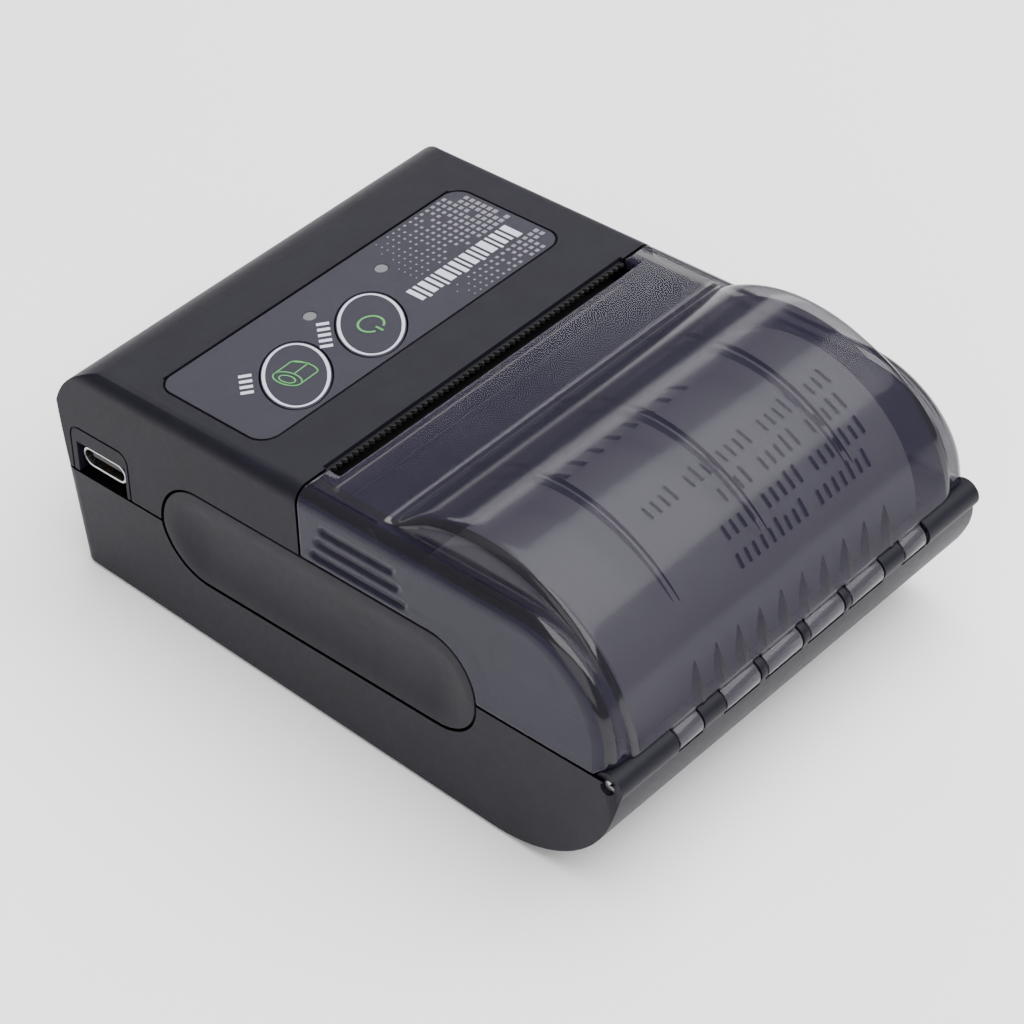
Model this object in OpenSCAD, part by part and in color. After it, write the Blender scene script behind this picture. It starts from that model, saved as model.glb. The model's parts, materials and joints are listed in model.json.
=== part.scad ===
// Portable receipt printer for 58 mm thermal paper.
// Drop-in paper roll, clear hinged paper cover, membrane control panel, flat base.
// The case is drawn with its parting line level at z = 0, +X to the right,
// +Y towards the cover hinge; place() then tips it onto its wedge-shaped base.

/* [Case] */
// Width of the case at the parting line
case_w = 73; // [73:0.5:80]
// Wall thickness of both case halves
wall = 1.8; // [1.6:0.1:2]
// Lean of the upper side faces, degrees
side_draft = 5.1; // [3:0.1:6]
// Height of the flat top above the parting line
top_z = 18.3; // [18:0.1:19]
// Radius along the two long top edges
side_round = 2.5; // [1.9:0.1:3]
// Radius of the front top edge
front_round = 12; // [8:0.5:13]
// Depth of the case below the parting line at its front face
front_depth = 17.3; // [17:0.1:18]
// Wedge angle between the parting line and the base, degrees
tilt = 2.7; // [2.6:0.1:2.8]
// Radius of the rounded rear of the lower case
rear_round = 22.9; // [22.7:0.1:23]
// Gap along each visible parting line
seam_gap = 0.4; // [0.2:0.1:0.4]
// How far the rubber feet stand out of the base
foot_proud = 0.6; // [0.4:0.1:1]

/* [Paper] */
// Radius of the full paper roll
roll_r = 19.3; // [15:0.1:19.3]
// Width of the paper roll
paper_w = 57; // [50:0.5:57]
// Outer radius of the roll's core tube
core_r = 6.3; // [6:0.1:8]
// Radius of the curved tray that the roll sits in
tray_r = 20.9; // [20.8:0.1:21]

/* [Cover] */
// Radius of the bulge over the paper roll
bulge_r = 24.2; // [23.8:0.1:24.4]
// Half width of the bulge
bulge_half = 32; // [31.5:0.1:32.4]
// Wall thickness of the clear cover
cover_wall = 1.5; // [1.3:0.1:1.6]
// Opening angle of the cover, degrees
cover_open = 95; // [80:1:100]
// Radius of the hinge pin
hinge_pin_r = 1; // [0.8:0.05:1]
// Outer radius of the cover's hinge knuckles
knuckle_r = 2; // [1.8:0.05:2]

/* [Controls] */
// Half length of an oval button
button_a = 7.6; // [7:0.1:8.4]
// Half width of an oval button
button_b = 4.9; // [4.6:0.1:5.1]
// Travel of a button
button_travel = 0.3; // [0.2:0.05:0.4]
// Turn of the ovals from the panel's long side, degrees
button_turn = 52; // [40:1:60]

/* [Drive] */
// Radius of the rubber platen roller
platen_r = 5; // [4.8:0.1:5]
// Gear module
gear_module = 0.4; // [0.4]
// Teeth on the platen gear
platen_teeth = 24; // [24]
// Teeth on the idler gear
idler_teeth = 22; // [22]
// Teeth on the small side of the compound gear
compound_small = 14; // [14]
// Teeth on the large side of the compound gear
compound_large = 28; // [28]
// Teeth on the motor pinion
pinion_teeth = 12; // [12]

/* [Hidden] */
$fn = 96;
eps = 0.01;
// Outlines that meet overlap by a hair, so that no two of their faces are coplanar,
// and every corner circle is a nub larger than its tangent lines allow
hair = 0.05;
nub = 0.004;

// Case outline
front_y = -53.25;
rear_y = 52.8;
rear_cy = rear_y - rear_round;
half_w = case_w / 2;
lean = tan(side_draft);
base_slope = tan(tilt);
front_corner = 3;
rear_corner = 2;
split_y = -3;
rear_cz = rear_round / cos(tilt) - front_depth - (rear_cy - front_y) * base_slope;

// Placing on the base
lift = foot_proud - front_y * sin(tilt) + front_depth * cos(tilt);
hinge_y = 50.9;
hinge_z = -1.1;
barrel_r = 2.2;
front_max = -front_y * cos(tilt) + (top_z - front_round) * sin(tilt);
rear_max = hinge_y * cos(tilt) - hinge_z * sin(tilt) + barrel_r;
mid_y = (front_max - rear_max) / 2;

// Side grips
grip_r = 7.8;
grip_front = -31.5;
grip_rear = 28.4;
grip_inner = 34.4;
grip_backing = 33.6;
grip_dish = 1.5;

// Control panel
panel_x0 = -28;
panel_x1 = 30.8;
panel_y0 = -35.2;
panel_y1 = -13.3;
panel_round = 3.2;
overlay_t = 0.3;
button_y = -21.1;
power_x = 3.2;
feed_x = 17.5;
led_y = -29.4;
led_x = 7;
button_gap = 0.2;
pipe_r = 1;

// Cover outline
shoulder_r = 15;
shoulder_y = 36;
shoulder_z = 3.3;
bulge_y = 27.5;
slot_half = 29;
lip_y = -0.7;
hinge_clear = 0.25;
barrel_x = 25.3;
knuckles = [[0.9, 7.6], [9.3, 15.8], [20.4, 24.8]];

// Paper roll and tray
roll_y = 29.3;
roll_z = 0.35;
tray_y = 29.7;
tray_z = rear_cz - 0.35;
tray_half = 29.4;
tray_wall = 1.2;

// Print mechanism, positions in the Y-Z plane
platen_y = 2.4;
platen_z = 9.8;
platen_half = 28.6;
shaft_r = 1.5;
bushing_r = 2.8;
running = 0.04;
frame_in = 29.2;
frame_out = 30.2;
lug_in = 30.4;
lug_out = 31.4;
gear_outer = [-33.3, -32.1];
gear_inner = [-31.7, -30.5];
axle_r = 0.75;
mesh_slack = 0.05;
motor_r = 7.5;
motor_x1 = -16.5;
pivot_y = -4.8;
pivot_z = 3;
head_back = -6.3;
head_face = -3.6;
wall_y0 = -10.2;
wall_y1 = -9.2;
spring_r = 1.8;
wire_r = 0.22;
spring_turns = 4;
spring_len = head_back - wall_y1 - 0.25;

// Centre distances between meshed gears
d_platen_idler = gear_module * (platen_teeth + idler_teeth) / 2 + mesh_slack;
d_idler_compound = gear_module * (idler_teeth + compound_small) / 2 + mesh_slack;
d_compound_motor = gear_module * (compound_large + pinion_teeth) / 2 + mesh_slack;
a_idler = -112;
a_compound = -119;
a_motor = -144;
idler_at = [platen_y, platen_z] + d_platen_idler * [cos(a_idler), sin(a_idler)];
compound_at = idler_at + d_idler_compound * [cos(a_compound), sin(a_compound)];
motor_at = compound_at + d_compound_motor * [cos(a_motor), sin(a_motor)];

// Angle of a follower gear that meshes with a driver: a tooth of one meets a gap of the other
function mesh_turn(driver_turn, driver_n, follower_n, dir) =
    dir + 180 + 180 / follower_n + (dir - driver_turn) * driver_n / follower_n;
platen_turn = 0;
idler_turn = mesh_turn(platen_turn, platen_teeth, idler_teeth, a_idler);
compound_turn = mesh_turn(idler_turn, idler_teeth, compound_small, a_compound);
pinion_turn = mesh_turn(compound_turn, compound_large, pinion_teeth, a_motor);

// Circuit board, battery and screws
board_z = -0.2;
board_t = 1.6;
usb_y = -43.85;
usb_z = 3.1;
cell_r = 6.8;
battery_z = -8.6;
battery_y = -33.3;
front_screw_x = 20;
front_screw_y = -49.4;
rear_screw_x = 30.9;
rear_screw_y = -25.5;
case_screws_at = [[-front_screw_x, front_screw_y], [front_screw_x, front_screw_y],
    [-rear_screw_x, rear_screw_y], [rear_screw_x, rear_screw_y]];
boss_r = 2.3;
screw_r = 1;
head_r = 1.9;
head_seat_z = -5;
door = [-27, 25.2, -46.6, -13.4];
door_bay = [-25.8, 24, -46.8, -19.4];
door_t = 1;
door_screw_at = [1, -17];
door_head_z = base_z(door_screw_at[1]) + 0.4;
board_posts = [[-28.3, -36], [27.6, -36]];
mech_posts = [[-22, 2.6], [22, 2.6]];
mech_base_z = -4;
flex_x0 = -22;
flex_x1 = -4;
feet_at = [[-31.6, -45.5], [31.6, -45.5], [-29, 19], [29, 19]];
foot_r = 3;

// ---------- Frames of reference ----------

// Tips the level-drawn case onto its base
module place() translate([0, mid_y, lift]) rotate([tilt, 0, 0]) children();

// Undoes place(), for features drawn square to the base
module on_base() rotate([-tilt, 0, 0]) translate([0, -mid_y, -lift]) children();

// Extrudes a Y-Z outline along X, from x0 to x1
module along_x(x0, x1) translate([x0, 0, 0]) rotate([90, 0, 90]) linear_extrude(x1 - x0) children();

// Extrudes an X-Z outline along Y, from y0 to y1
module along_y(y0, y1) translate([0, y1, 0]) rotate([90, 0, 0]) linear_extrude(y1 - y0) children();

// Round bar along X at a point of the Y-Z plane
module bar_x(x0, x1, r, y, z) translate([x0, y, z]) rotate([0, 90, 0]) cylinder(r = r, h = x1 - x0);

module both_sides() {
    children();
    mirror([1, 0, 0]) children();
}

module box(a, b) translate(a) cube(b - a);

// ---------- Outlines ----------

// Y-Z outline of the case, shrunk by w
module side_outline(w) {
    y0 = front_y + w;
    cy = front_y + front_round;
    cz = top_z + hair - front_round;
    rr = rear_round - w;
    polygon([[y0, w / cos(tilt) - front_depth - w * base_slope], [y0, cz], [cy, cz],
        [cy, top_z + hair - w], [rear_y + 1, top_z + hair - w], [rear_y + 1, rear_cz],
        [rear_cy, rear_cz], [rear_cy - rr * sin(tilt), rear_cz - rr * cos(tilt)]]);
    translate([cy, cz]) circle(front_round - w + nub);
    translate([rear_cy, rear_cz]) circle(rr + nub);
}

// X-Z outline of the case, shrunk by w
module end_outline(w) {
    r = max(side_round - w, 0.3);
    cz = top_z - w - r;
    cx = half_w - w - lean * cz - r / cos(side_draft);
    both_sides() {
        polygon([[0, -30], [half_w - w + lean * 30, -30],
            [cx + r * cos(side_draft), cz + r * sin(side_draft)], [cx, cz], [cx, top_z - w],
            [0, top_z - w]]);
        translate([cx, cz]) circle(r + nub);
    }
}

// Plan outline of the case, shrunk by w
module plan_outline(w) {
    y0 = front_y + w + hair;
    y1 = rear_y - w - 2 * hair;
    x = half_w - w;
    rf = front_corner - w;
    rr = rear_corner - w;
    both_sides() {
        polygon([[0, y0], [x - rf, y0], [x - rf, y0 + rf], [x, y0 + rf], [x, y1 - rr],
            [x - rr, y1 - rr], [x - rr, y1], [0, y1]]);
        translate([x - rf, y0 + rf]) circle(rf + nub);
        translate([x - rr, y1 - rr]) circle(rr + nub);
    }
}

// Solid form of the closed case, shrunk by w
module case_form(w) intersection() {
    along_x(-half_w - 1, half_w + 1) side_outline(w);
    along_y(front_y - 1, rear_y + 1) end_outline(w);
    translate([0, 0, -32]) linear_extrude(64) plan_outline(w);
}

// Stadium outline of a side grip, grown by g
module grip_outline(g) {
    c0 = grip_front + grip_r;
    c1 = grip_rear - grip_r;
    translate([c0, 0]) circle(grip_r + g + nub);
    translate([c1, 0]) circle(grip_r + g + nub);
    translate([c0, -grip_r - g]) square([c1 - c0, 2 * (grip_r + g)]);
}

module grip_cut(g, x0 = grip_inner) both_sides() along_x(x0, half_w + 1) grip_outline(g);

// Oval outline of a button, grown by g
module oval(g) rotate(button_turn) polygon([for (i = [0:5:359])
    [(button_a + g) * cos(i), (button_b + g) * sin(i)]]);

// Rounded rectangle between two corners
module round_rect(x0, x1, y0, y1, r) {
    for (x = [x0 + r, x1 - r], y = [y0 + r, y1 - r]) translate([x, y]) circle(r + nub);
    translate([x0 + r, y0]) square([x1 - x0 - 2 * r, y1 - y0]);
    translate([x0, y0 + r]) square([x1 - x0, y1 - y0 - 2 * r]);
}

// ---------- Case ----------

// Cross recess in a screw head, from z = 0 up to a depth
module cross_recess(depth) for (a = [0, 90]) rotate(a)
    translate([-0.75, -0.2, -1]) cube([1.5, 0.4, depth + 1]);

module screw_bore(at, bottom, head_z) translate([at[0], at[1], 0]) {
    translate([0, 0, bottom]) cylinder(r = head_r + 0.2, h = head_z - bottom);
    translate([0, 0, bottom]) cylinder(r = screw_r + 0.15, h = 1 - bottom);
}

module lower_case() color([0.20, 0.20, 0.22]) place() {
    difference() {
        union() {
            lower_shell();
            lower_posts();
            // Hinge barrels at both rear corners
            both_sides() {
                bar_x(barrel_x, half_w - 0.5, barrel_r, hinge_y, hinge_z);
                bar_x(16.1, 20.1, knuckle_r, hinge_y, hinge_z);
                bar_x(7.9, 9, knuckle_r, hinge_y, hinge_z);
                along_x(16.1, 20.1) hinge_web();
                along_x(7.9, 9) hinge_web();
            }
            bar_x(-0.6, 0.6, knuckle_r, hinge_y, hinge_z);
            along_x(-0.6, 0.6) hinge_web();
        }
        // Room for the cover's knuckles
        both_sides() for (k = knuckles)
            bar_x(k[0] - 0.3, k[1] + 0.3, knuckle_r + hinge_clear, hinge_y, hinge_z);
        // Pin bore
        bar_x(-half_w + 1.2, half_w + 1, hinge_pin_r + 0.01, hinge_y, hinge_z);
        grip_cut(seam_gap / 2);
        usb_mouth();
        for (p = case_screws_at) screw_bore(p, -30, head_seat_z);
        // Battery door recess and bay opening
        on_base() {
            box([door[0], door[2] + mid_y, 0], [door[1], door[3] + mid_y, foot_proud + door_t + 0.1]);
            for (f = feet_at) translate([f[0], f[1], foot_proud - 1]) cylinder(r = foot_r + 0.1, h = 1.6);
        }
        box([door_bay[0], door_bay[2], -22], [door_bay[1], door_bay[3], -8]);
        translate([door_screw_at[0], door_screw_at[1], -22]) cylinder(r = screw_r + 0.02, h = 11);
        for (p = board_posts) translate([p[0], p[1], -6]) cylinder(r = screw_r + 0.02, h = 8);
        for (p = mech_posts) translate([p[0], p[1], -11]) cylinder(r = screw_r + 0.02, h = 8);
    }
}

// Web that ties a case knuckle to the rear wall
module hinge_web() polygon([[hinge_y - knuckle_r, hinge_z], [hinge_y + 0.6, hinge_z],
    [hinge_y + 0.6, -5.5], [hinge_y - knuckle_r, -5.5]]);

// Tub with the paper tray and its side guides
module lower_shell() intersection() {
    difference() {
        case_form(0);
        difference() {
            case_form(wall);
            bar_x(-tray_half - tray_wall, tray_half + tray_wall, tray_r + tray_wall, tray_y, tray_z);
        }
        bar_x(-tray_half, tray_half, tray_r, tray_y, tray_z);
        // Notch behind the platen, where the paper leaves the tray
        box([-tray_half, 6, -3], [tray_half, tray_y, 10]);
    }
    box([-60, -60, -40], [60, 60, -seam_gap / 2]);
}

// Outside height of the base at a given Y
function base_z(y) = -front_depth - (y - front_y) * base_slope;

// Post that stands on the base, up to a given height
module post(at, r, top) translate([at[0], at[1], base_z(at[1]) + wall / 2])
    cylinder(r = r, h = top - base_z(at[1]) - wall / 2);

module lower_posts() {
    for (p = case_screws_at) post(p, boss_r, -seam_gap);
    for (p = board_posts) post(p, 1.9, board_z);
    for (p = mech_posts) post(p, boss_r, mech_base_z);
    post(door_screw_at, boss_r, -13);
    // Tongues that key the two halves together
    box([-16, -52, -3], [16, -50.5, -1.5]);
    box([-16, -51.3, -1.6], [16, -50.5, 1.2]);
    box([-35.5, -49, -3], [-33.7, -34, -1.5]);
    box([-34.4, -49, -1.6], [-33.7, -34, 1.2]);
    // Backing plates that the side grips are bonded to
    both_sides() {
        along_x(grip_backing, grip_inner) grip_outline(-0.2);
        along_x(grip_backing, half_w - wall + 0.2) intersection() {
            grip_outline(1.3);
            translate([-60, -60]) square([120, 60 - seam_gap / 2]);
        }
    }
}

// Opening for the USB-C plug, with its mouth at the parting line
module usb_mouth() {
    box([half_w - 4, usb_y - 5.1, -0.15], [half_w + 1, usb_y + 5.1, usb_z + 2.1]);
}

module upper_case() color([0.20, 0.20, 0.22]) place() difference() {
    union() {
        intersection() {
            difference() {
                case_form(0);
                case_form(wall);
            }
            box([-60, -60, seam_gap / 2], [60, split_y - seam_gap, 40]);
        }
        for (p = case_screws_at) translate([p[0], p[1], seam_gap / 2])
            cylinder(r = boss_r, h = (p[1] < -40 ? 11 : top_z - wall / 2) - seam_gap / 2);
    }
    grip_cut(seam_gap / 2, grip_backing - 0.2);
    usb_mouth();
    usb_frame_line();
    // Screw pilot holes
    for (p = case_screws_at) translate([p[0], p[1], -1]) cylinder(r = screw_r + 0.02, h = 9);
    // Overlay pocket and the holes below it
    translate([0, 0, top_z - overlay_t]) linear_extrude(2)
        round_rect(panel_x0 - 0.1, panel_x1 + 0.1, panel_y0 - 0.1, panel_y1 + 0.1, panel_round);
    for (x = [power_x, feed_x]) translate([x, button_y, top_z - 4]) linear_extrude(6) oval(button_gap);
    for (x = [-led_x, led_x]) translate([x, led_y, 10]) cylinder(r = pipe_r + 0.05, h = 12);
    // Open paper slot and the seat of the tear bar
    box([-slot_half, -4, 10], [slot_half, 0, 30]);
    box([-slot_half, -8.05, 10], [slot_half, 0, top_z - 0.7]);
}

// Shallow engraved line round the USB-C opening
module usb_frame_line() translate([half_w, usb_y, 0]) rotate([0, -side_draft, 0])
    translate([-0.25, 0, 0]) rotate([90, 0, 90]) linear_extrude(2) difference() {
        round_rect(-6.4, 6, -8, 7.9, 2);
        round_rect(-6.1, 5.7, -9, 7.6, 1.7);
    }

module side_grip() difference() {
    intersection() {
        case_form(0.1);
        along_x(grip_inner, half_w) grip_outline(-seam_gap / 2);
    }
    // Finger dish: a shallow trough with round ends
    translate([half_w - grip_dish + dish_r(), grip_front + grip_r + 1, 0]) {
        sphere(r = dish_r());
        rotate([-90, 0, 0]) cylinder(r = dish_r(), h = grip_rear - grip_front - 2 * grip_r - 2);
        translate([0, grip_rear - grip_front - 2 * grip_r - 2, 0]) sphere(r = dish_r());
    }
}

// Radius of the dish that is grip_dish deep at the grip's half height
function dish_r() = (pow(grip_r - 0.8, 2) + pow(grip_dish, 2)) / (2 * grip_dish);

module side_grip_right() color([0.17, 0.17, 0.19]) place() side_grip();

module side_grip_left() color([0.17, 0.17, 0.19]) place() mirror([1, 0, 0]) side_grip();

module rubber_feet() color([0.08, 0.08, 0.08]) for (f = feet_at)
    translate([f[0], f[1], 0]) cylinder(r = foot_r, h = foot_proud + 0.6);

module battery_door() color([0.20, 0.20, 0.22]) difference() {
    translate([0, mid_y, foot_proud])
        box([door[0] + 0.25, door[2] + 0.25, 0], [door[1] - 0.25, door[3] - 0.25, door_t]);
    // Grip lines for the thumb
    for (i = [0:4]) translate([-8, -43 + mid_y + 2 * i, foot_proud - 0.3]) cube([16, 0.8, 0.6]);
    place() translate([door_screw_at[0], door_screw_at[1], -25]) cylinder(r = screw_r + 0.15, h = 12);
    place() translate([door_screw_at[0], door_screw_at[1], -25]) cylinder(r = head_r + 0.1,
        h = 25 + door_head_z);
}

// ---------- Controls ----------

module control_overlay() color([0.32, 0.31, 0.36]) place()
    translate([0, 0, top_z - overlay_t]) linear_extrude(overlay_t) difference() {
        round_rect(panel_x0, panel_x1, panel_y0, panel_y1, panel_round);
        for (x = [power_x, feed_x]) translate([x, button_y]) oval(button_gap);
        for (x = [-led_x, led_x]) translate([x, led_y]) circle(pipe_r + 0.02);
    }

module button(x) color([0.32, 0.31, 0.36]) place() translate([x, button_y, 0]) {
    translate([0, 0, top_z - 3]) linear_extrude(3) oval(0);
    translate([0, 0, top_z - wall - 1.2]) linear_extrude(1) oval(button_gap + 0.6);
    translate([0, 0, 5.1]) cylinder(r = 2, h = top_z - 7.1);
}

module power_button() button(power_x);

module feed_button() button(feed_x);

module light_pipes() color([0.85, 0.85, 0.88]) place() for (x = [-led_x, led_x])
    translate([x, led_y, board_z + board_t + 0.9])
        cylinder(r = pipe_r, h = top_z - board_z - board_t - 0.95);

module tact_switches() color([0.1, 0.1, 0.1]) place() for (x = [power_x, feed_x])
    translate([x, button_y, board_z + board_t]) {
        translate([-3, -3, 0]) cube([6, 6, 3]);
        cylinder(r = 1.7, h = 5.05 - board_z - board_t - button_travel);
    }

module status_leds() color([0.9, 0.9, 0.7]) place() for (x = [-led_x, led_x])
    translate([x - 0.8, led_y - 0.4, board_z + board_t]) cube([1.6, 0.8, 0.7]);

module tear_bar() color([0.12, 0.12, 0.13]) place()
    translate([0, 0, top_z - 1.3]) linear_extrude(0.6) difference() {
        translate([-slot_half + 0.1, -8]) square([2 * slot_half - 0.2, 4.9]);
        // Teeth 1 mm apart
        for (x = [-slot_half + 1:1:slot_half - 1])
            translate([x, -3.1]) polygon([[-0.42, eps], [0, -0.8], [0.42, eps]]);
    }

// ---------- Clear cover ----------

// Y-Z outline of the cover's shoulders, shrunk by w
module shoulder_outline(w) {
    z1 = top_z - w + hair;
    y1 = shoulder_y + shoulder_r - w;
    translate([shoulder_y, shoulder_z]) circle(shoulder_r - w + nub);
    polygon([[split_y - 5, -20], [split_y - 5, z1], [shoulder_y, z1],
        [shoulder_y, shoulder_z], [y1, shoulder_z], [y1, -20]]);
}

// Y-Z outline of the bulge over the roll, shrunk by w, with a fillet where it starts
module bulge_outline(w) {
    r = bulge_r - w;
    f = 5 + w;
    z0 = top_z - w - hair;
    cy = bulge_y - sqrt(pow(r + f, 2) - pow(z0 + f, 2));
    translate([bulge_y, 0]) circle(r + nub);
    translate([bulge_y, -20]) square([r, 20]);
    difference() {
        polygon([[cy, 0], [cy, z0], [cy, z0 + f], [bulge_y, 0]]);
        translate([cy, z0 + f]) circle(f);
    }
}

// Solid form of the cover, shrunk by w
module cover_form(w) {
    intersection() {
        along_x(-60, 60) shoulder_outline(w);
        along_y(-60, 60) end_outline(w);
    }
    intersection() {
        along_x(-bulge_half + w, bulge_half - w) bulge_outline(w);
        box([-60, -60, -20], [60, rear_y - 0.9 - w, 60]);
    }
}

module paper_cover() color([0.45, 0.44, 0.50, 0.55]) place() difference() {
    union() {
        intersection() {
            difference() {
                cover_form(0);
                cover_form(cover_wall);
            }
            box([-60, split_y, seam_gap / 2], [60, 60, 60]);
        }
        // Lip along the paper slot
        box([-slot_half - 1, lip_y, platen_z + platen_r + 0.6],
            [slot_half + 1, lip_y + cover_wall, top_z - 1]);
        // Lugs that hold the platen bushings
        both_sides() along_x(lug_in, lug_out) difference() {
            union() {
                translate([platen_y, platen_z]) circle(bushing_r + 1.4);
                translate([platen_y - 2.5, platen_z]) square([6, top_z - 1 - platen_z]);
            }
            translate([platen_y, platen_z]) circle(bushing_r);
        }
        // Stiffening ribs inside the bulge
        for (x = [-17, 0, 17]) along_x(x - 0.4, x + 0.4) intersection() {
            difference() {
                bulge_outline(cover_wall - 0.2);
                translate([bulge_y, 0]) circle(bulge_r - cover_wall - 0.8);
            }
            polygon([[12, 17], [bulge_y, 30], [47, 30], [47, 16], [bulge_y, 12]]);
        }
        // Hinge knuckles and the gussets above them
        both_sides() for (k = knuckles) {
            bar_x(k[0], k[1], knuckle_r, hinge_y, hinge_z);
            along_x(k[0], k[1]) polygon([[hinge_y - 1.4, hinge_z], [hinge_y + 0.8, hinge_z],
                [hinge_y + 0.8, 1.4], [hinge_y - 0.7, 1.4]]);
        }
    }
    // Paper slot
    box([-slot_half, -10, 0], [slot_half, lip_y, 40]);
    // The side walls end above the grips
    grip_cut(seam_gap / 2 + 0.1);
    both_sides() along_x(20, 60) grip_outline(seam_gap / 2 + 0.1);
    // Finger ribs on both side walls
    both_sides() for (g = [[1.6, 13.9, 14.1], [0.6, 14.8, 11.8], [-0.4, 15.8, 9.5]])
        translate([half_w - lean * g[2] - 0.5, 0, g[2]]) rotate([0, -side_draft, 0])
        rotate([90, 0, 90]) linear_extrude(3) {
            translate([g[0], -0.6]) square([g[1] - g[0], 1.2]);
            translate([g[0], 0]) circle(0.6);
            translate([g[1], 0]) circle(0.6);
        }
    // Room for the case's hinge barrels and knuckles
    both_sides() {
        bar_x(barrel_x - 0.3, half_w + 1, barrel_r + hinge_clear, hinge_y, hinge_z);
        bar_x(15.8, 20.4, barrel_r + hinge_clear, hinge_y, hinge_z);
        bar_x(7.6, 9.3, barrel_r + hinge_clear, hinge_y, hinge_z);
    }
    bar_x(-0.9, 0.9, barrel_r + hinge_clear, hinge_y, hinge_z);
    bar_x(-30, 30, hinge_pin_r + running, hinge_y, hinge_z);
}

module hinge_pin() color([0.75, 0.75, 0.77]) place()
    bar_x(-half_w + 1.3, half_w - 0.7, hinge_pin_r, hinge_y, hinge_z);

// ---------- Paper ----------

module paper_roll() color([0.93, 0.93, 0.92]) place() difference() {
    bar_x(-paper_w / 2, paper_w / 2, roll_r, roll_y, roll_z);
    bar_x(-paper_w, paper_w, core_r, roll_y, roll_z);
}

module paper_core() color([0.7, 0.62, 0.5]) place() difference() {
    bar_x(-paper_w / 2, paper_w / 2, core_r, roll_y, roll_z);
    bar_x(-paper_w, paper_w, core_r - 1.2, roll_y, roll_z);
}

// ---------- Platen ----------

module platen_shaft() color([0.75, 0.75, 0.77]) place()
    bar_x(gear_outer[0] - 0.1, lug_out + 0.4, shaft_r, platen_y, platen_z);

module platen_roller() color([0.10, 0.10, 0.11]) place() difference() {
    bar_x(-platen_half, platen_half, platen_r, platen_y, platen_z);
    bar_x(-60, 60, shaft_r, platen_y, platen_z);
}

module platen_bushings() color([0.9, 0.9, 0.85]) place() both_sides() difference() {
    bar_x(frame_in - 0.1, lug_out, bushing_r, platen_y, platen_z);
    bar_x(0, 60, shaft_r + running, platen_y, platen_z);
}

// ---------- Gears ----------

// Points of one involute flank, from the root to the tip
function involute(rb, r) = let (t = sqrt(max(0, pow(r / rb, 2) - 1))) t * 180 / PI - atan(t);

// Spur gear outline; one tooth is centred on angle 0
module gear_outline(n, backlash = 0.05) {
    rp = gear_module * n / 2;
    rb = rp * cos(20);
    ra = rp + gear_module;
    rf = rp - 1.2 * gear_module;
    half = 90 / n - backlash / rp * 90 / PI;
    inv_p = involute(rb, rp);
    r0 = max(rb, rf);
    steps = 4;
    flank = [for (i = [0:steps]) let (r = r0 + (ra - r0) * i / steps)
        [r, half + inv_p - involute(rb, r)]];
    polygon([for (k = [0:n - 1]) let (c = 360 * k / n) each concat(
        [[rf * cos(c - flank[0][1]), rf * sin(c - flank[0][1])]],
        [for (i = [0:steps]) [flank[i][0] * cos(c - flank[i][1]), flank[i][0] * sin(c - flank[i][1])]],
        [for (i = [steps:-1:0]) [flank[i][0] * cos(c + flank[i][1]), flank[i][0] * sin(c + flank[i][1])]],
        [[rf * cos(c + flank[0][1]), rf * sin(c + flank[0][1])]])]);
}

// Gear between two X planes at a point of the Y-Z plane
module gear_x(n, span, at, turn) along_x(span[0], span[1])
    translate(at) rotate(turn) gear_outline(n);

module platen_gear() color([0.92, 0.92, 0.88]) place() difference() {
    gear_x(platen_teeth, gear_outer, [platen_y, platen_z], platen_turn);
    bar_x(-60, 0, shaft_r, platen_y, platen_z);
}

module idler_gear() color([0.92, 0.92, 0.88]) place() difference() {
    gear_x(idler_teeth, gear_outer, idler_at, idler_turn);
    bar_x(-60, 0, axle_r + running, idler_at[0], idler_at[1]);
}

module compound_gear() color([0.92, 0.92, 0.88]) place() difference() {
    union() {
        gear_x(compound_small, [gear_outer[0], gear_inner[1] - 0.5], compound_at, compound_turn);
        gear_x(compound_large, gear_inner, compound_at, compound_turn);
    }
    bar_x(-60, 0, axle_r + running, compound_at[0], compound_at[1]);
}

module motor_pinion() color([0.80, 0.65, 0.30]) place() difference() {
    gear_x(pinion_teeth, gear_inner, motor_at, pinion_turn);
    bar_x(-60, 0, axle_r, motor_at[0], motor_at[1]);
}

module motor_shaft() color([0.75, 0.75, 0.77]) place()
    bar_x(gear_inner[0] - 0.2, -18, axle_r, motor_at[0], motor_at[1]);

module gear_axles() color([0.75, 0.75, 0.77]) place() for (p = [idler_at, compound_at])
    bar_x(gear_outer[0] - 0.2, -frame_in, axle_r, p[0], p[1]);

module stepper_motor() color([0.70, 0.71, 0.73]) place() difference() {
    union() {
        bar_x(-frame_in, motor_x1, motor_r, motor_at[0], motor_at[1]);
        bar_x(motor_x1, motor_x1 + 1, 2.5, motor_at[0], motor_at[1]);
    }
    bar_x(-60, -17.5, axle_r + running, motor_at[0], motor_at[1]);
}

// ---------- Print mechanism ----------

// Side plate of the mechanism, open above the platen bushing
module frame_plate() difference() {
    union() {
        polygon([[wall_y0, -4], [wall_y0, 13.2], [-1.8, 13.2], [-1.8, 11], [6.6, platen_z + 0.6], [7, -4]]);
        translate(motor_at) circle(motor_r + 0.6);
        polygon([[motor_at[0] - motor_r, motor_at[1]], [wall_y0, 0], [6, 0], [4, -8],
            [motor_at[0] + motor_r, motor_at[1] - 2]]);
    }
    translate([platen_y, platen_z]) circle(bushing_r + 0.1);
    translate([platen_y - bushing_r - 0.1, platen_z]) square([12, 12]);
    translate([pivot_y, pivot_z]) circle(0.8 + running);
    // Flat below the motor, clear of the base
    translate([-30, -30]) square([60, 12.9]);
}

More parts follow.
